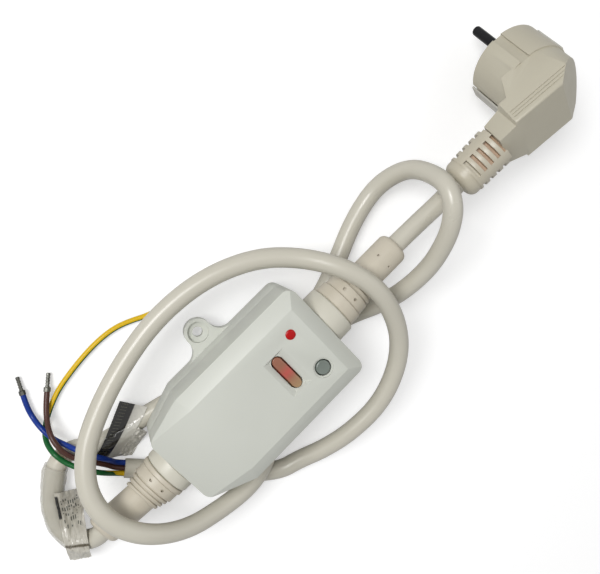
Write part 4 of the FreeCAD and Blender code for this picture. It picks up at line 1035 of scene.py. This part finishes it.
def paint_slot_shade(material):
    """Painted shade: a darker warm colour on what lies deep inside the guard, between its foot and its smooth
    nose.
    """
    tree = material.node_tree
    from_foot = vector_math(tree, "SUBTRACT", place_of(tree)[3], GUARD_FOOT).outputs["Vector"]
    heading = (GUARD_MOUTH - GUARD_FOOT).normalized()
    across = vector_math(tree, "CROSS_PRODUCT", from_foot, heading).outputs["Vector"]
    depth = vector_math(tree, "LENGTH", across).outputs["Value"]
    along = vector_math(tree, "DOT_PRODUCT", from_foot, heading).outputs["Value"]
    inside = math_of(tree, "MULTIPLY", ramp_between(tree, depth, *SLOT_SHADE_DEPTH),
                     ramp_between(tree, along, *SLOT_SHADE_END))
    # Painted shade on what lies deep in the slots.
    two_tone(material, inside, tone(172, 146, 120))


paint_button_glow_and_light(amber_plastic)
paint_slot_shade(guard_rubber)

# %% [markdown]
# The label and the film carry plain marks: ticks on a dark band, rows of short bars and a line, and the
# bend's film has a black block of painted shadow where a gap between its edges lies.
# Printed marks crumple with their film, so they follow the sheets' own UV maps and not their places.

# %% Print of the films, and a painted shadow on the bend's sheet
BAR_ROWS, BAR_REPEATS = 12.0, 14.0
ROW_EDGE, BAR_EDGE = (0.55, 0.5), (0.5, 0.53)
FLAG_BAND_EDGE, FLAG_TICKS = (0.57, 0.54), 22.0
PRINT_EDGE, TICK_EDGE = 0.01, 0.05


def dashes(tree, along, across):
    """Rows of short bars of uneven length: one where a bar is."""
    row = math_of(tree, "MULTIPLY", across, BAR_ROWS)
    in_row = ramp_between(tree, math_of(tree, "FRACT", row), *ROW_EDGE)
    joined = tree.nodes.new("ShaderNodeCombineXYZ")
    tree.links.new(math_of(tree, "MULTIPLY", along, BAR_REPEATS), joined.inputs["X"])
    tree.links.new(math_of(tree, "FLOOR", row), joined.inputs["Y"])
    uneven = tree.nodes.new("ShaderNodeTexNoise")
    uneven.inputs["Scale"].default_value = 1.0
    uneven.inputs["Detail"].default_value = 1.0
    tree.links.new(joined.outputs["Vector"], uneven.inputs["Vector"])
    return math_of(tree, "MULTIPLY", in_row, ramp_between(tree, uneven.outputs["Fac"], *BAR_EDGE))


def band_mask(tree, value, low, high, soft=PRINT_EDGE):
    """One between two values, nought outside, with soft edges."""
    rise = ramp_between(tree, value, low - soft, low + soft)
    fall = ramp_between(tree, value, high + soft, high - soft)
    return math_of(tree, "MULTIPLY", rise, fall)


def print_flag(material):
    """A black band with pale ticks along the outer half of the flag, plain film on the rest."""
    tree = material.node_tree
    u, v = place_of(tree, "UV")[:2]
    two_tone(material, ramp_between(tree, v, *FLAG_BAND_EDGE), tone(34, 33, 30))
    repeat = math_of(tree, "FRACT", math_of(tree, "MULTIPLY", u, FLAG_TICKS))
    ticks = math_of(tree, "MULTIPLY", band_mask(tree, repeat, 0.3, 0.5, TICK_EDGE),
                    band_mask(tree, v, 0.12, 0.34))
    two_tone(material, ticks, tone(84, 82, 70))


def print_sheet_and_gap_shadow(material):
    """Rows of small grey bars on the sheet over the bend, a black block beside them that is painted shadow of
    a gap between the film's edges, and a dark line.
    """
    tree = material.node_tree
    u, v = place_of(tree, "UV")[:2]
    patch = math_of(tree, "MULTIPLY", band_mask(tree, v, 0.1, 0.5), band_mask(tree, u, 0.15, 0.85))
    two_tone(material, math_of(tree, "MULTIPLY", dashes(tree, v, u), patch), tone(96, 98, 92))
    # The black block is painted shadow, for the dark gap between the film's edges.
    gap_shadow = math_of(tree, "MULTIPLY", band_mask(tree, v, 0.05, 0.36), band_mask(tree, u, -0.1, 0.11))
    two_tone(material, gap_shadow, tone(26, 26, 24))
    two_tone(material, band_mask(tree, v, 0.7, 0.74), tone(92, 84, 66))


print_flag(flag_film)
print_sheet_and_gap_shadow(sheet_film)

# %% [markdown]
# Every piece has one material. The solids that show
# as they are get theirs from the record, and the pieces of this lesson by name.

# %% Paint


def paint(material, slot_name, *pieces):
    """Gives each piece its one material; the slot name is not used."""
    for piece in pieces:
        piece.data.materials.clear()
        piece.data.materials.append(material)


for entry in frame["record"]["subparts"]:
    node = nodes[entry["node"]]
    node.data.materials.clear()
    node.data.materials.append(FINISHES[entry["material_slot"]])
paint(cord_rubber, "cord", supply_cord, load_cord)
paint(blue_sleeve, "blue_sleeve", blue_core)
paint(brown_sleeve, "brown_sleeve", brown_core)
paint(green_sleeve, "green_sleeve", earth_core)
paint(shell_plastic, "shell", cover, base)
paint(collar_plastic, "shell", supply_collar, load_collar)
paint(boot_rubber, "beige", supply_boot, load_boot)
paint(plug_rubber, "beige", plug_body)
paint(guard_rubber, "beige", plug_guard)
paint(strip_metal, "strip_metal", plug_strip)
paint(amber_plastic, "amber", reset_button)
paint(grey_plastic, "grey_button", test_button)
paint(red_plastic, "red_lens", lens)
paint(crimp_metal, "crimp_metal", *crimps.values())
paint(FINISHES["spring_steel"], "spring_steel", *springs)
paint(clear_film, "clear_film", film)
paint(sheet_film, "clear_film", bend_sheet)
paint(white_film, "white_film", label_film)
paint(flag_film, "white_film", label_flag)

# %% [markdown]
# The long one ends bare: its sheath is stripped and the three cores come out of it.

# %% [markdown]
# The floor is a plain pale sheet just below the part. For the camera alone it glows a little, so that it
# comes out white while it still keeps the object's shadow.

# %% Floor
FLOOR_SIZE, FLOOR_DROP = 6.0, 0.0001
FLOOR_GREY, FLOOR_ROUGHNESS = 0.7, 0.8
FLOOR_GLOW = 0.4
bpy.ops.object.select_all(action="DESELECT")
bpy.ops.mesh.primitive_plane_add(size=FLOOR_SIZE, location=(0, 0, FLOOR_Z - FLOOR_DROP))
floor = bpy.context.active_object
floor.name = "floor"
floor_paint = bpy.data.materials.new("floor white")
floor_paint.use_nodes = True
floor_tree = floor_paint.node_tree
floor_shader = principled(floor_paint)
floor_shader.inputs["Base Color"].default_value = (FLOOR_GREY, FLOOR_GREY, FLOOR_GREY, 1)
floor_shader.inputs["Roughness"].default_value = FLOOR_ROUGHNESS
floor_shader.inputs["Emission Color"].default_value = (1, 1, 1, 1)
camera_ray = floor_tree.nodes.new("ShaderNodeLightPath").outputs["Is Camera Ray"]
glow = math_of(floor_tree, "MULTIPLY", camera_ray, FLOOR_GLOW)
floor_tree.links.new(glow, floor_shader.inputs["Emission Strength"])
floor.data.materials.append(floor_paint)

# %% [markdown]
# The light comes from the housing's lug side, as in the photograph: the chamfer there is bright and the
# far walls fall dark. One soft lamp does that, a weak wide one opens the other side, and a pale world fills
# the shade. The world looks brighter to the camera and in reflections than it lights, so that it is pale
# behind the object and gloss has something to show.

# %% Lamps
WINDOW_SPOT, WINDOW_SIZE, WINDOW_POWER = (-0.23, 0.53, 0.9), 0.45, 8.6
FILL_SPOT, FILL_SIZE, FILL_POWER = (0.7, -0.3, 0.9), 0.9, 1.5


def lamp(name, spot, size, power):
    """A square soft lamp that looks at the housing."""
    data = bpy.data.lights.new(name, "AREA")
    data.size = size
    data.energy = power
    light = linked(name, data)
    light.location = spot
    light.rotation_euler = (-Vector(spot)).to_track_quat("-Z", "Y").to_euler()


lamp("window light", WINDOW_SPOT, WINDOW_SIZE, WINDOW_POWER)
lamp("soft fill", FILL_SPOT, FILL_SIZE, FILL_POWER)
print("lamps", len(bpy.data.lights))

# %% World
WORLD_LIGHT, WORLD_SHOWN = 0.33, 0.9
world = bpy.data.worlds.new("studio")
world.use_nodes = True
world_tree = world.node_tree
backdrop = world_tree.nodes["Background"]
backdrop.inputs["Color"].default_value = (1, 1, 1, 1)
light_path = world_tree.nodes.new("ShaderNodeLightPath")
shown = math_of(world_tree, "MAXIMUM", light_path.outputs["Is Camera Ray"],
                light_path.outputs["Is Glossy Ray"])
level = world_tree.nodes.new("ShaderNodeMapRange")
level.inputs["To Min"].default_value = WORLD_LIGHT
level.inputs["To Max"].default_value = WORLD_SHOWN
world_tree.links.new(shown, level.inputs["Value"])
world_tree.links.new(level.outputs["Result"], backdrop.inputs["Strength"])
bpy.context.scene.world = world
bpy.context.scene.view_settings.view_transform = "Standard"
print("world light", WORLD_LIGHT)
